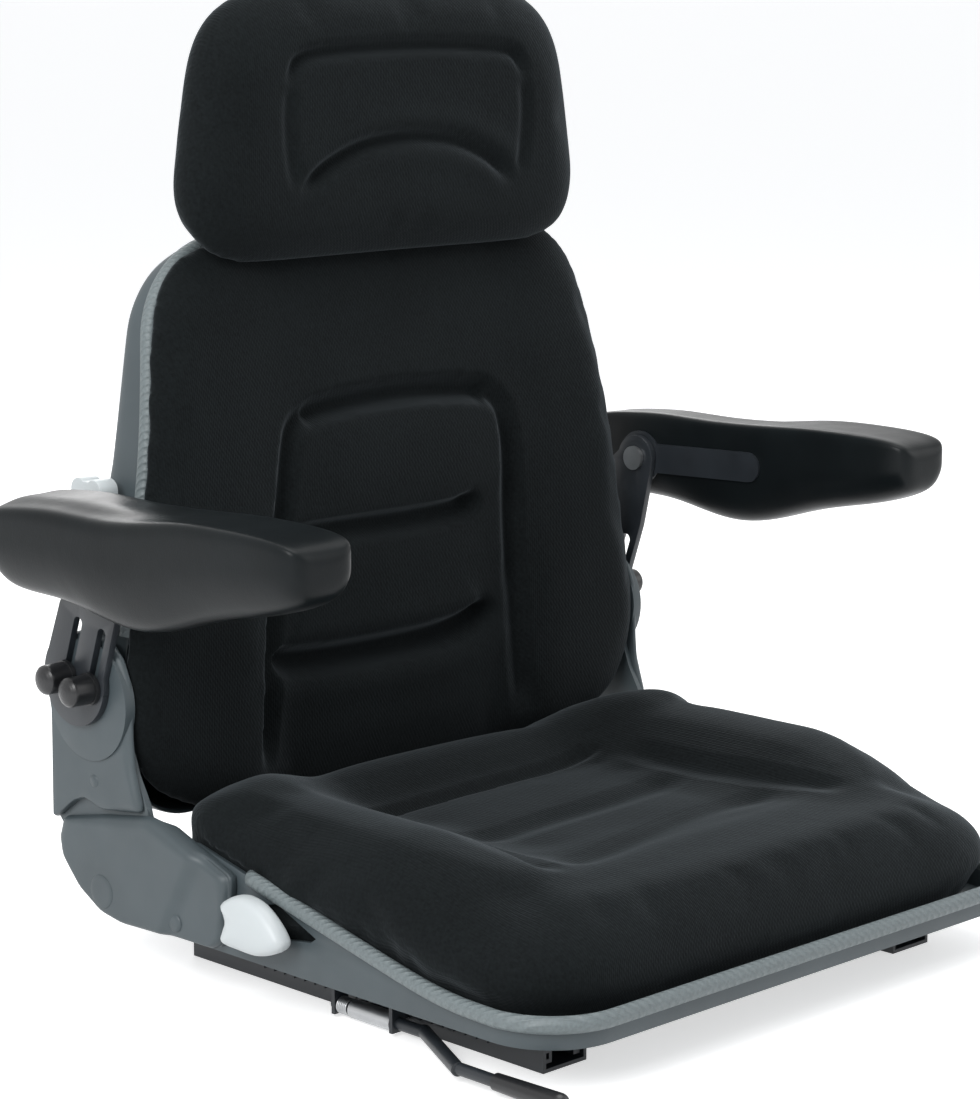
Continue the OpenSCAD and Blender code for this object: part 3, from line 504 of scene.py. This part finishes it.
# ---- seat cushion -------------------------------------------------------
# insets of the rings over a cushion's rounded edge and face
STEPS = (1.5, 4, 8, 14, 21, 30, 42, 56, 74, 96, 122, 150)


def seat_top(x, y):
    """The plain top face of the seat cushion, before its channels."""
    ax = np.abs(x)
    return (98 + 31 * step01((ax - 92) / 82) * (1 - step01((-45 - y) / 125))
            + 8 * step01((-60 - y) / 70) + 19 * step01((y - 70) / 60)
            - 21 * step01((y - 85) / 55) * step01((ax - 95) / 85))


SEAT_REAR, SEAT_FRONT, SEAT_HALF = 170.0, -212.0, 229.0
# how far the foam stands under the finished top before it is swollen
FOAM = 4.5


def seat_cushion():
    base = square_ring(22, 7)
    mid, long = (SEAT_REAR + SEAT_FRONT) / 2, (SEAT_REAR - SEAT_FRONT) / 2

    def plan(inset, eased):
        """The seat's outline, moved inwards; above the pan its rear edge clears the backrest cushion."""
        ease = np.full(len(base), float(max(inset, -3)))
        if eased:
            ease[base[:, 1] > 0] = max(inset, 0) + 12
        y = mid + base[:, 1] * (long - ease)
        bulge = inset * (1 - 0.7 * step01((y - 10) / 35)) if inset < 0 else inset
        return base[:, 0] * (SEAT_HALF - bulge), y

    def flat(inset, z):
        x, y = plan(inset, False)
        return np.c_[x, y, np.full(len(x), z)]

    def ring(inset, t, eased=True):
        """A ring at the share t of the way from the pan's wall to the top."""
        x, y = plan(inset, eased)
        low = wall_z(y) + 3
        return np.c_[x, y, low + (seat_top(x, y) - FOAM - low) * t]

    def top_ring(inset):
        """A ring of the rounded top edge; the rear edge is rounded more tightly than the others."""
        y = plan(inset, True)[1]
        reach = 42 - 22 * step01((y - 50) / 70)
        return ring(inset, np.maximum(0.38, rounded((inset + 9) / reach)))

    rings = [flat(110, 38.5), flat(40, 38.5), flat(9, 38.5), flat(3.5, 44), ring(3.5, 0.0, False)]
    # the sides stand over the rolled rim
    rings += [ring(-4, 0.16), ring(-6, 0.3)]
    rings += [top_ring(d - 6) for d in STEPS + (178,)]
    ob = loft("seat_cushion_cover", rings, "black_cloth", "seat")
    swell(ob, 5.0, 5.0)
    refit(ob, 0, -236.5, 236.5)
    puff(ob, [(0, 30, 100, 40, 3.0), (0, -58, 100, 40, 3.0), (0, -150, 150, 34, 1.5)], (0, 1), (0, 0, 1))
    # the panel between the bolsters: three soft rolls
    grooves = [
        ([(-128, 58), (-110, 70), (-60, 74), (0, 77), (60, 79), (106, 82), (122, 74)], 5.5, 6.0, 0.08),
        ([(-126, 62), (-124, 20), (-126, -30), (-134, -90), (-142, -135)], 4.2, 9.0, 0.14),
        ([(126, 66), (124, 20), (126, -30), (134, -90), (142, -135)], 4.2, 9.0, 0.14),
        ([(-119, -10), (-80, -20), (-30, -17), (20, -14), (70, -8), (119, -2)], 3.0, 12.0, 0.12),
        ([(-128, -112), (-80, -110), (-30, -98), (30, -86), (80, -82), (126, -88)], 3.0, 12.0, 0.12),
    ]
    carve(ob, grooves, (0, 1), (0, 0, 1))
    co = points_of(ob)
    # nothing of it reaches through the pan or its wall
    low = co[:, 2] < wall_z(co[:, 1]) + 1.0
    co[:, 0] = np.where(low, np.clip(co[:, 0], -229.4, 229.4), co[:, 0])
    co[:, 1] = np.where(low, np.clip(co[:, 1], -212.4, 170.4), co[:, 1])
    # its rear edge stands in front of the backrest cushion
    co[:, 1] = np.minimum(co[:, 1], 169.4 - 15.5 * step01((co[:, 2] - 86) / 16))
    # beside the recliner it keeps inside the covers
    side = 232.4 + 5 * (1 - step01((co[:, 1] - 35) / 18)) + 3.6 * step01((co[:, 2] - 112) / 8)
    co[:, 0] = np.clip(co[:, 0], -side, side)
    co[:, 2] = np.maximum(co[:, 2], 34.3)
    set_points(ob, co)
    place(ob, "seat_cushion")


# ---- back cushion -------------------------------------------------------
def back_front(x, z):
    """The plain front face of the backrest cushion."""
    ax = np.abs(x)
    hollow = 17 - 13 * step01((z - 200) / 150)
    return back_edge(z) - 24 + hollow * (1 - step01((ax - 92) / 52))


# front edge of the arms' sheet and of their thick skin, as (y, z)
ARM_SHEET = np.array([(138, 85), (146, 107), (149, 117), (160, 136), (167, 155), (172, 185), (177, 206),
                      (189, 222), (215, 232)], float)
ARM_EDGE = np.array([(149, 114), (154, 128), (158, 142), (159.5, 160), (159.5, 182), (161.5, 200),
                     (168, 214), (182, 225), (205, 232)], float)
ARM_TOP = 232


def back_plane(z):
    """The flat back of the backrest cushion."""
    return 185 + 0.045 * (np.asarray(z, float) - 102)


def back_cushion():
    base = square_ring(22, 8)
    top, low = 474.5, 102.5

    def ring(inset, t=None):
        """A ring at the share t of the way from the seam to the front, or on the flat back."""
        z = (top + low) / 2 + base[:, 1] * ((top - low) / 2 - max(inset, 0))
        half = back_width(z) - 3.5 - inset
        # the corners are drawn in: a little at the top, more at the bottom
        half = half - 2 * step01((z - 440) / 40) ** 2 - 36 * np.clip((190 - z) / 92, 0, 1) ** 2.6
        x = base[:, 0] * half
        seam = back_edge(z) - 6
        y = back_plane(z) - 0.6 if t is None else seam + (back_front(x, z) + 4 - seam) * t
        return np.c_[x, y, z]

    rings = [ring(110), ring(40), ring(4), ring(3.5, 0.0), ring(-4, 0.12), ring(-5.5, 0.3)]
    rings += [ring(d - 6, max(0.42, rounded((d + 4) / 36))) for d in STEPS + (172,)]
    ob = loft("back_cushion_cover", rings, "black_cloth", "backrest")
    swell(ob, 5.0, 5.0)
    refit(ob, 0, -242.5, 242.5)
    refit(ob, 2, 98.5, 479.0)
    frame_path = [(-125, 112), (-121, 150), (-118, 195), (-113, 250), (-108, 310), (-104, 340), (-97, 356),
                  (-80, 364), (-40, 368), (0, 369), (40, 368), (80, 362), (97, 352), (103, 336), (107, 310),
                  (112, 250), (118, 195), (121, 150), (125, 112)]
    grooves = [
        (frame_path, 8.5, 7.0, 0.05),
        ([(-98, 356), (-70, 364), (0, 368), (70, 364), (98, 355)], 13.5, 8.0, 0.1),
        ([(-106, 277), (-60, 277), (0, 276), (45, 277), (66, 280), (80, 288)], 12.0, 7.5, 0.08),
        ([(-114, 202), (-100, 191), (-60, 187), (0, 186), (50, 188), (82, 195), (98, 208)], 14.0, 8.0, 0.07),
    ]
    rolls = [(0, 322, 92, 34, 4.5), (0, 232, 96, 34, 4.0), (0, 148, 100, 28, 3.5), (0, 420, 150, 38, 2.0)]
    puff(ob, rolls, (0, 2), (0, -1, 0))
    carve(ob, grooves, (0, 2), (0, -1, 0))
    co = points_of(ob)
    co[:, 1] = np.minimum(co[:, 1], back_plane(co[:, 2]) - 0.3)
    behind = co[:, 1] > back_edge(co[:, 2]) - 6.5
    # beside the cushion stand the arms: first their thick front edge, then their sheet
    sheet = np.interp(co[:, 2], ARM_SHEET[:, 1], ARM_SHEET[:, 0])
    edge = np.interp(co[:, 2], ARM_EDGE[:, 1], ARM_EDGE[:, 0])
    widest = 243
    lim = widest - 3 * step01((co[:, 1] - edge + 5) / 4) - 4 * step01((co[:, 1] - sheet + 5) / 4)
    lim = np.where(co[:, 2] < ARM_TOP, lim, widest)
    lim = np.where(behind, back_width(co[:, 2]) - 3.4, lim)
    co[:, 0] = np.clip(co[:, 0], -lim, lim)
    co[:, 2] = np.where(behind, np.clip(co[:, 2], 99.5, 474.8), co[:, 2])
    set_points(ob, co)
    place(ob, "back_cushion")


# ---- headrest -----------------------------------------------------------
HEAD_TOP, HEAD_HALF = 650.0, 177.0


def head_width(z):
    """Half width of the headrest."""
    return HEAD_HALF - 0.175 * np.maximum(0, z - 523)


def head_low(y):
    """Lower end of the headrest: its front lip hangs lower than the rest."""
    return 470 + 11 * step01((y - 172) / 8)


def head_ring(base, y, inset):
    """The headrest's outline at one depth, moved inwards."""
    low = head_low(y)
    z = (HEAD_TOP + low) / 2 + base[:, 1] * ((HEAD_TOP - low) / 2 - inset)
    return np.c_[base[:, 0] * (head_width(z) - inset), np.full(len(z), float(y)), z]


def headrest():
    base = square_ring(20, 4.2, 6)
    # depth y and how far the outline is drawn in there
    stations = [(204.8, 60), (204.8, 30), (204.0, 22), (200, 14), (195, 8), (189, 3.5), (183, 1.5), (176, 1),
                (170, 2.5), (164, 6), (159, 11), (155, 17), (152, 25), (150.3, 36), (149.8, 50), (150, 66)]
    ob = loft("headrest_cover", [head_ring(base, y, i) for y, i in stations], "black_cloth", "headrest")
    swell(ob, 4.5, 3.2)
    refit(ob, 0, -178.5, 178.5)
    refit(ob, 2, 466.5, 651.0)
    grooves = [
        ([(-111, 578), (-107, 592), (-96, 602), (-60, 606), (0, 607.5), (60, 606), (96, 602), (107, 592),
          (111, 578)], 7.0, 5.0, 0.1),
        ([(-103, 512), (-108, 530), (-111, 560), (-108, 588)], 3.2, 5.5, 0.2),
        ([(103, 512), (108, 530), (111, 560), (108, 588)], 3.2, 5.5, 0.2),
        ([(-106, 512), (-93, 518), (-72, 531), (-40, 542), (0, 545.5), (40, 542), (72, 531), (93, 518),
          (106, 512)], 8.5, 5.2, 0.12),
    ]
    carve(ob, grooves, (0, 2), (0, -1, 0))
    co = points_of(ob)
    co[:, 1] = np.minimum(co[:, 1], 204.9)
    co[:, 2] = np.where(co[:, 1] > 176, np.maximum(co[:, 2], 480.0), co[:, 2])
    set_points(ob, co)
    place(ob, "headrest_pad")
    base = square_ring(16, 4.2, 6)
    outer = [(232.5, 80), (232, 70), (231.2, 58), (229, 47), (226, 39.5), (221, 32), (214, 25.5), (205, 19)]
    inner = [(205, 22), (213, 28.5), (219, 35), (223, 43), (227, 60), (228, 80)]
    rings = [head_ring(base, y, i) for y, i in outer] + [head_ring(base, y, i) for y, i in inner]
    shell = loft("headrest_shell_skin", rings, "grey_plastic", "headrest")
    modify(shell, "SUBSURF", levels=1, render_levels=1)
    place(shell, "headrest_shell")


# ---- backrest shell and its trim ----------------------------------------
def back_outline(out, n=10):
    """Front view outline of the backrest moved outwards, from the middle of the bottom round to the start."""
    top, low = 478 + out, 96 - out
    r_top, r_low = max(58 + out, 8), max(55 + out, 8)
    pts = []
    for k in range(n + 1):
        a = math.radians(-90 + 90 * k / n)
        z = low + r_low + r_low * math.sin(a)
        pts.append((float(back_width(z)) + out - r_low + r_low * math.cos(a), z))
    zs = np.linspace(low + r_low, top - r_top, 12)[1:-1]
    pts += [(float(back_width(z)) + out, z) for z in zs]
    for k in range(n + 1):
        a = math.radians(90 * k / n)
        z = top - r_top + r_top * math.sin(a)
        pts.append((float(back_width(z)) + out - r_top + r_top * math.cos(a), z))
    across = [(t * pts[-1][0], pts[-1][1]) for t in (0.6, 0.2)]
    under = [(t * pts[0][0], pts[0][1]) for t in (0.2, 0.6)]
    half = under + pts + across
    return np.array(half + [(-x, z) for x, z in half[::-1]])


# rear face of the backrest shell, as (z, y)
REAR = np.array([(84, 236), (104, 244), (165, 244), (300, 234), (322, 225), (430, 225), (460, 226),
                 (486, 222)], float)


def back_rear(z):
    """How far back the shell's rear face stands."""
    return np.interp(z, REAR[:, 0], REAR[:, 1])


def back_shell():
    def ring(inset, t, push=0.0):
        o = back_outline(-inset)
        x, z = o[:, 0], o[:, 1]
        y = back_edge(z) + (back_rear(z) - back_edge(z)) * t + push
        return np.c_[x, y, z]

    # inset, share of the depth and push to the rear: a low raised band stiffens the rear face
    outer = [(150, 1, 0), (120, 1, 0), (95, 1, 0), (88, 1, 1.2), (60, 1, 1.2), (53, 1, 0), (30, 1, 0),
             (16, 0.99, 0), (8, 0.95, 0), (3, 0.86, 0), (0.5, 0.7, 0), (0, 0.5, 0), (0, 0.25, 0),
             (0, 0.03, 0), (0.6, 0, 0)]
    inner = [(2.4, 0, 0), (3, 0.04, 0), (3, 0.3, 0), (3.2, 0.6, 0), (6, 0.82, 0), (13, 0.91, 0),
             (30, 0.935, 0), (90, 0.935, -2), (150, 0.935, 0)]
    rings = [ring(*s) for s in outer] + [ring(*s) for s in inner]
    ob = loft("back_shell_skin", rings, "grey_plastic", "backrest")
    modify(ob, "SUBSURF", levels=1, render_levels=1)
    place(ob, "back_shell")


def bead(out, up):
    """Round profile of an edge trim."""
    turns = [2 * math.pi * k / 16 for k in range(16)]
    return [(out * math.cos(a), up * math.sin(a)) for a in turns]


def path_frames(path, side):
    """Unit directions across a path: one in the plane given by side, and one square to it."""
    path = np.asarray(path, float)
    t = np.gradient(path, axis=0)
    t /= np.linalg.norm(t, axis=1)[:, None]
    out = []
    for d in t:
        u = np.cross(d, side)
        u /= np.linalg.norm(u)
        v = np.cross(u, d)
        out.append((u, v / np.linalg.norm(v)))
    return out


def trims():
    # the backrest's bead, over the top from one side to the other, above the arms
    out, start = 0.8, 226.0
    o = back_outline(out)
    half = [p for p in o[: len(o) // 2] if p[1] >= start]
    half = [(float(back_width(start)) + out, start)] + half
    line = half + [(-x, z) for x, z in half[::-1]]
    line = curve_points([(x, float(back_edge(z)) - 0.6, z) for x, z in line], 3)
    across = path_frames(line, (0, 1, 0))
    ob = sweep("back_trim_bead", line, bead(4.8, 5.9), across, "grey_trim", "backrest")
    place(ob, "back_trim")
    # the seat's rolled rim, from the left side round the front to the right side
    pts = [(-233, y) for y in np.linspace(51, -150, 15)]
    cx, cy, r = 183, -166, 50
    pts += [(-cx - r * math.cos(a), cy - r * math.sin(a)) for a in np.radians(np.arange(5, 90, 8))]
    pts += [(x, -216) for x in np.linspace(-178, 0, 8)]
    pts += [(-x, y) for x, y in pts[-2::-1]]
    line = curve_points([(x, y, float(wall_z(y)) - 1.6) for x, y in pts], 2)
    profile = [(2.4 + a, b) for a, b in bead(4.6, 5.6)]
    up = np.array((0, 0, 1.0))
    across = [(np.array((u[0], u[1], 0)) / math.hypot(u[0], u[1]), up) for u, _ in path_frames(line, up)]
    # the profile's first direction is outwards
    if np.dot(across[len(line) // 2][0], (0, -1, 0)) < 0:
        across = [(-u, v) for u, v in across]
    ob = sweep("seat_trim_bead", line, profile, across, "grey_trim", "seat")
    place(ob, "seat_trim")


# ---- armrests -----------------------------------------------------------
# along the armrest: y, lower end, top, share of the full width
PAD = [(226, 289, 309, 0.50), (225, 281, 317, 0.82), (221, 273, 322, 0.95), (213, 266, 325, 0.99),
       (203, 263, 327, 1), (185, 262, 329, 1), (155, 262, 331, 1), (130, 258, 330.5, 1), (105, 253, 330, 1),
       (80, 251.5, 330.5, 1), (55, 256, 331.5, 1), (30, 264, 333, 1), (5, 271, 334, 1), (-20, 276, 334, 0.99),
       (-45, 281, 333.5, 0.97), (-62, 286, 332, 0.94), (-72, 290, 330, 0.89), (-78, 294, 327, 0.8),
       (-80.5, 299, 322, 0.62), (-81, 304, 317, 0.42)]


def armrest(side, name):
    inner, half = 256.4, 28.9
    mid = inner + half
    section = square_ring(10, 11, 3.2)
    rings = []
    for y, low, top, share in PAD:
        ring = []
        for px, pz in section:
            narrow = 1 - 0.17 * step01(-pz)
            z = (low + top) / 2 + pz * (top - low) / 2
            # the top is a shallow dish, lower towards the outer edge at the rear
            if pz > 0:
                z -= 2.6 * step01(pz) * (1 - min(1, abs(px)) ** 4) * share
            if px > 0 and pz > 0:
                z -= 6.5 * step01(px) * step01((y - 20) / 90) * step01(pz) * share
            ring.append((side * (mid + px * half * narrow * share), y, z))
        rings.append(ring)
    ob = loft(name + "_cover", rings, "armrest_skin", name)
    modify(ob, "SUBSURF", levels=2, render_levels=2)
    place(ob, name.replace("armrest_", "armrest_pad_"))


# ---- recliner covers ----------------------------------------------------
COVER = [(235, 95), (190, 104.2), (140, 112.5), (92, 95), (66.5, 85.5), (66.5, 77), (72, 43), (80.5, 35),
         (125, 34), (172, 32.6), (194.5, 36.6), (217.5, 49.8), (236, 69.6), (239.5, 81.5)]


def refined(points):
    """A closed outline with its corners rounded off."""
    p = np.asarray(points, float)

    def cut(b, a):
        """A place a little way from the corner b towards a."""
        return b + (a - b) * min(0.16, 5 / np.linalg.norm(a - b))

    out = []
    for i in range(len(p)):
        a, b, c = p[i - 1], p[i], p[(i + 1) % len(p)]
        for t in (0, 1 / 3, 2 / 3, 1):
            out.append((1 - t) ** 2 * cut(b, a) + 2 * t * (1 - t) * b + t * t * cut(b, c))
    return np.array(out)


def evenly(points, count):
    """A closed outline cut into equal steps."""
    p = np.vstack([points, points[:1]])
    run = np.r_[0, np.cumsum(np.linalg.norm(np.diff(p, axis=0), axis=1))]
    at = np.linspace(0, run[-1], count, endpoint=False)
    return np.c_[np.interp(at, run, p[:, 0]), np.interp(at, run, p[:, 1])]


def drawn_in(points, middle, d, share=1.0):
    """An outline moved in by d towards a middle point, then scaled to a share of its size."""
    v = middle - points
    far = np.linalg.norm(v, axis=1)[:, None]
    return middle - (v - v / far * np.reshape(d, (-1, 1))) * share


def upright_rings(side, line, middle, stations, soft=1.0):
    """Rings of one outline along X, from (distance, inset, share of the size) stations."""
    rings = []
    for x, d, share in stations:
        o = drawn_in(line, middle, d * soft, share)
        rings.append(np.c_[np.full(len(o), side * x), o])
    return rings


def disc(name, side, place_at, stations, slot, body):
    """A round piece along X, from (distance from the middle of the seat, radius) stations."""
    y, z = place_at
    turns = np.linspace(0, 2 * math.pi, 40, endpoint=False)
    rings = [[(side * x, y + q * math.cos(a), z + q * math.sin(a)) for a in turns] for x, q in stations]
    return place(loft(name, rings, slot, body))


def recliner_cover(side, name):
    """A hollow cover with a rounded edge, its flush pivot cap and its small boss."""
    line = evenly(refined(COVER), 120)
    middle = np.array((152.0, 70.0))
    # the edge is well rounded along the top and tighter round the bottom and the rear
    soft = 0.5 + 0.5 * step01((line[:, 1] - 62) / 26)

    def ring(x, d, share=1.0):
        o = drawn_in(line, middle, d * soft, share)
        # the wall is short at the rear, where the arm swings
        foot = 233.3 + 7.9 * step01((o[:, 0] - 122) / 16)
        # the front part of the face is pressed in behind a slanting crease
        ahead = (o - (97, 87)) @ np.array((-0.867, -0.498))
        drop = 3.6 * step01((ahead + 6) / 11) * (1 if x > 240 else 0)
        return np.c_[side * np.maximum(x - drop, foot), o[:, 0], o[:, 1]]

    outside = [(247.8, 11, k) for k in np.linspace(0.03, 1, 26)]
    outside += [(247.7, 8), (247.2, 5.6), (246.1, 3.4), (244.4, 1.5), (242.4, 0.4), (240, 0), (237, 0),
                (234, 0), (233.3, 0.6)]
    inside = [(233.3, 2.0), (234.2, 2.4), (238, 2.4), (240.5, 2.6), (242.2, 4.2), (243.6, 8)]
    inside += [(243.8, 12, k) for k in np.linspace(1, 0.03, 12)]
    ob = loft(name + "_skin", [ring(*r) for r in outside + inside], "grey_plastic", "seat")
    place(ob, name)
    rim = [(247.0, 11.7), (247.9, 11.7), (248.15, 11.3), (248.15, 8), (248.15, 3)]
    disc(name.replace("cover", "cap"), side, (190, 52), rim, "grey_plastic", "seat")
    boss = [(242.5, 6.6), (244.6, 6.4), (245.5, 5.4), (245.8, 3.5), (245.8, 1)]
    disc(name.replace("cover", "boss"), side, (116.9, 45.6), boss, "grey_plastic", "seat")


# ---- backrest arms ------------------------------------------------------
ARM = [(149.5, 113.2), (154, 128), (158, 142), (159.5, 160), (159.5, 182), (161.5, 200), (168, 214),
       (182, 225), (205, 229), (228, 222), (240, 204), (243.5, 172), (243.5, 112), (243.5, 92), (235, 98),
       (220, 108.8), (209, 112.6), (199, 110.4), (190, 108), (170, 110.2)]


def arm_skin(side, name):
    """The thick outer form of an arm, over the CAD arm's sheet and round its boss."""
    line = evenly(refined(ARM), 110)
    middle = np.array((202.0, 160.0))
    soft = 0.3 + 0.7 * step01((184 - line[:, 0]) / 20)
    inside = [(241.0, 4, k) for k in (0.05, 0.4, 0.8)] + [(241.0, 1.2, 1), (241.8, 0.2, 1)]
    edge = [(242.8, 0, 1), (244, 0.6, 1), (245.2, 1.9, 1), (246.2, 3.8, 1), (246.8, 6, 1), (246.95, 8.5, 1)]
    face = [(246.95, 8.5, k) for k in (0.9, 0.75, 0.55, 0.3, 0.05)]
    rings = upright_rings(side, line, middle, inside + edge + face, soft)
    place(loft(name + "_cover", rings, "grey_plastic", "backrest"))
    bump = [(246.5, 4.6), (247.0, 4.4), (247.6, 3.2), (247.9, 1.6), (247.95, 0.4)]
    disc(name + "_bump", side, (196.5, 127), bump, "grey_plastic", "backrest")


# ---- recline lever ------------------------------------------------------
LEVER = [(61, 72.5), (50, 79), (38, 81), (24, 78), (11, 69.5), (3, 60.5), (2.6, 55.5), (10, 49.8),
         (26, 44.6), (44, 44.4), (60.5, 46.5), (60, 53.5), (57.5, 60.5), (59.2, 67.5)]


def recline_lever():
    """A domed leaf on its round hub."""
    loop = curve_points(LEVER + LEVER[:3], 6)
    line = evenly(loop[6:6 + 6 * len(LEVER)], 84)
    back = [(243.2, 2, 0.05), (243.2, 2, 0.5), (243.2, 1.5, 1), (244, 0.4, 1), (246, 0, 1), (249, 0, 1)]
    dome = [(251.5, 0.6, 1), (253.4, 1.8, 1), (254.8, 3.6, 1), (255.9, 6.5, 1), (256.5, 8, 0.9),
            (256.9, 8, 0.75), (257.1, 8, 0.55), (257.2, 8, 0.3), (257.2, 8, 0.05)]
    rings = upright_rings(-1, line, np.array((35.0, 63.0)), back + dome)
    place(loft("recline_lever_skin", rings, "white_plastic", "recline_lever"), "recline_lever")
    hub = [(240.2, 8.4), (240.6, 9), (244, 9)]
    disc("recline_lever_hub", -1, (50, 63), hub, "white_plastic", "recline_lever")


# ---- rounded copies of rigid CAD parts ----------------------------------
def softened(node, width, segments, wanted=None):
    """A rigid CAD part with its sharp edges rounded: all of them, or those whose ends are wanted."""
    src = nodes[node]
    me = src.data.copy()
    ob = bpy.data.objects.new(node + "_skin", me)
    bpy.context.scene.collection.objects.link(ob)
    bm = bmesh.new()
    bm.from_mesh(me)
    bmesh.ops.remove_doubles(bm, verts=bm.verts, dist=2e-6)
    bmesh.ops.dissolve_limit(bm, angle_limit=math.radians(0.8), verts=bm.verts, edges=bm.edges)
    edges = [e for e in bm.edges if len(e.link_faces) == 2 and e.calc_face_angle(0) > math.radians(35)]
    if wanted:
        edges = [e for e in edges if all(wanted(*(v.co / MM)) for v in e.verts)]
    bmesh.ops.bevel(bm, geom=edges, offset=width * MM, segments=segments, profile=0.5, affect="EDGES",
                    clamp_overlap=True)
    bmesh.ops.triangulate(bm, faces=[f for f in bm.faces if len(f.verts) > 4])
    bm.to_mesh(me)
    bm.free()
    me.shade_smooth()
    me.set_sharp_from_angle(angle=math.radians(32))
    part = next(p for p in frame["record"]["subparts"] if p["node"] == node)
    ob["slot_name"] = part["material_slot"]
    ob["body_name"] = src["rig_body"]
    return place(ob, node)


def above_cover(x, y, z):
    """The part of a backrest arm that shows above the recliner cover."""
    return abs(x) > 239 and z > 113


# ---- floor, light -------------------------------------------------------
BACKGROUND_RAYS = ("Is Camera Ray", "Is Glossy Ray", "Is Transmission Ray")


def background_share(tree):
    """1 for the rays that show the background, 0 for those that light the object."""
    path = tree.nodes.new("ShaderNodeLightPath")
    last = path.outputs[BACKGROUND_RAYS[0]]
    for kind in BACKGROUND_RAYS[1:]:
        either = tree.nodes.new("ShaderNodeMath")
        either.operation = "MAXIMUM"
        tree.links.new(last, either.inputs[0])
        tree.links.new(path.outputs[kind], either.inputs[1])
        last = either.outputs[0]
    return last


def stage():
    reach, under = 45.0, -0.0004
    me = bpy.data.meshes.new("floor")
    corners = [(-reach, -reach), (reach, -reach), (reach, reach), (-reach, reach)]
    me.from_pydata([(x, y, under) for x, y in corners], [], [(0, 1, 2, 3)])
    floor = bpy.data.objects.new("floor", me)
    bpy.context.scene.collection.objects.link(floor)
    m = Nodes("floor", (0.86, 0.86, 0.86), 0.9, spec=0.1)
    m.set("Emission Color", (1, 1, 1, 1))
    lit = m.maths("MULTIPLY", background_share(m.tree), 0.6)
    m.link(lit, m.shader.inputs["Emission Strength"])
    me.materials.append(m.mat)

    world = bpy.data.worlds.new("world")
    bpy.context.scene.world = world
    world.use_nodes = True
    t = world.node_tree
    soft = t.nodes["Background"]
    soft.inputs["Color"].default_value = (0.93, 0.96, 1, 1)
    soft.inputs["Strength"].default_value = 0.42
    seen = t.nodes.new("ShaderNodeBackground")
    seen.inputs["Color"].default_value = (1, 1, 1, 1)
    seen.inputs["Strength"].default_value = 1.0
    mix = t.nodes.new("ShaderNodeMixShader")
    t.links.new(background_share(t), mix.inputs[0])
    t.links.new(soft.outputs[0], mix.inputs[1])
    t.links.new(seen.outputs[0], mix.inputs[2])
    t.links.new(mix.outputs[0], t.nodes["World Output"].inputs["Surface"])

    for name, at, target, size, power in (
        ("key", (-2.3, -0.6, 1.7), (0, 0, 0.35), 1.5, 50),
        ("top", (0.2, -0.2, 2.8), (0, 0, 0.3), 2.2, 34),
        ("side", (2.2, -1.4, 1.2), (0, 0, 0.35), 1.6, 8),
        ("rear", (1.5, 2.0, 1.25), (0, 0, 0.35), 1.3, 14),
    ):
        d = bpy.data.lights.new(name, "AREA")
        d.shape = "DISK"
        d.size = size
        d.energy = power
        ob = bpy.data.objects.new(name, d)
        ob.location = at
        ob.rotation_euler = (Vector(target) - Vector(at)).to_track_quat("-Z", "Y").to_euler()
        bpy.context.scene.collection.objects.link(ob)


seat_cushion()
back_cushion()
headrest()
back_shell()
trims()
for side, label in ((-1, "left"), (1, "right")):
    armrest(side, "armrest_" + label)
    recliner_cover(side, "recliner_cover_" + label)
    arm_skin(side, "recliner_arm_" + label)
    softened("recliner_arm_" + label, 1.2, 3, above_cover)
    softened("armrest_bracket_" + label, 0.7, 2)
recline_lever()
softened("lumbar_knob", 2.6, 3)
softened("seat_pan", 1.2, 2)
stage()
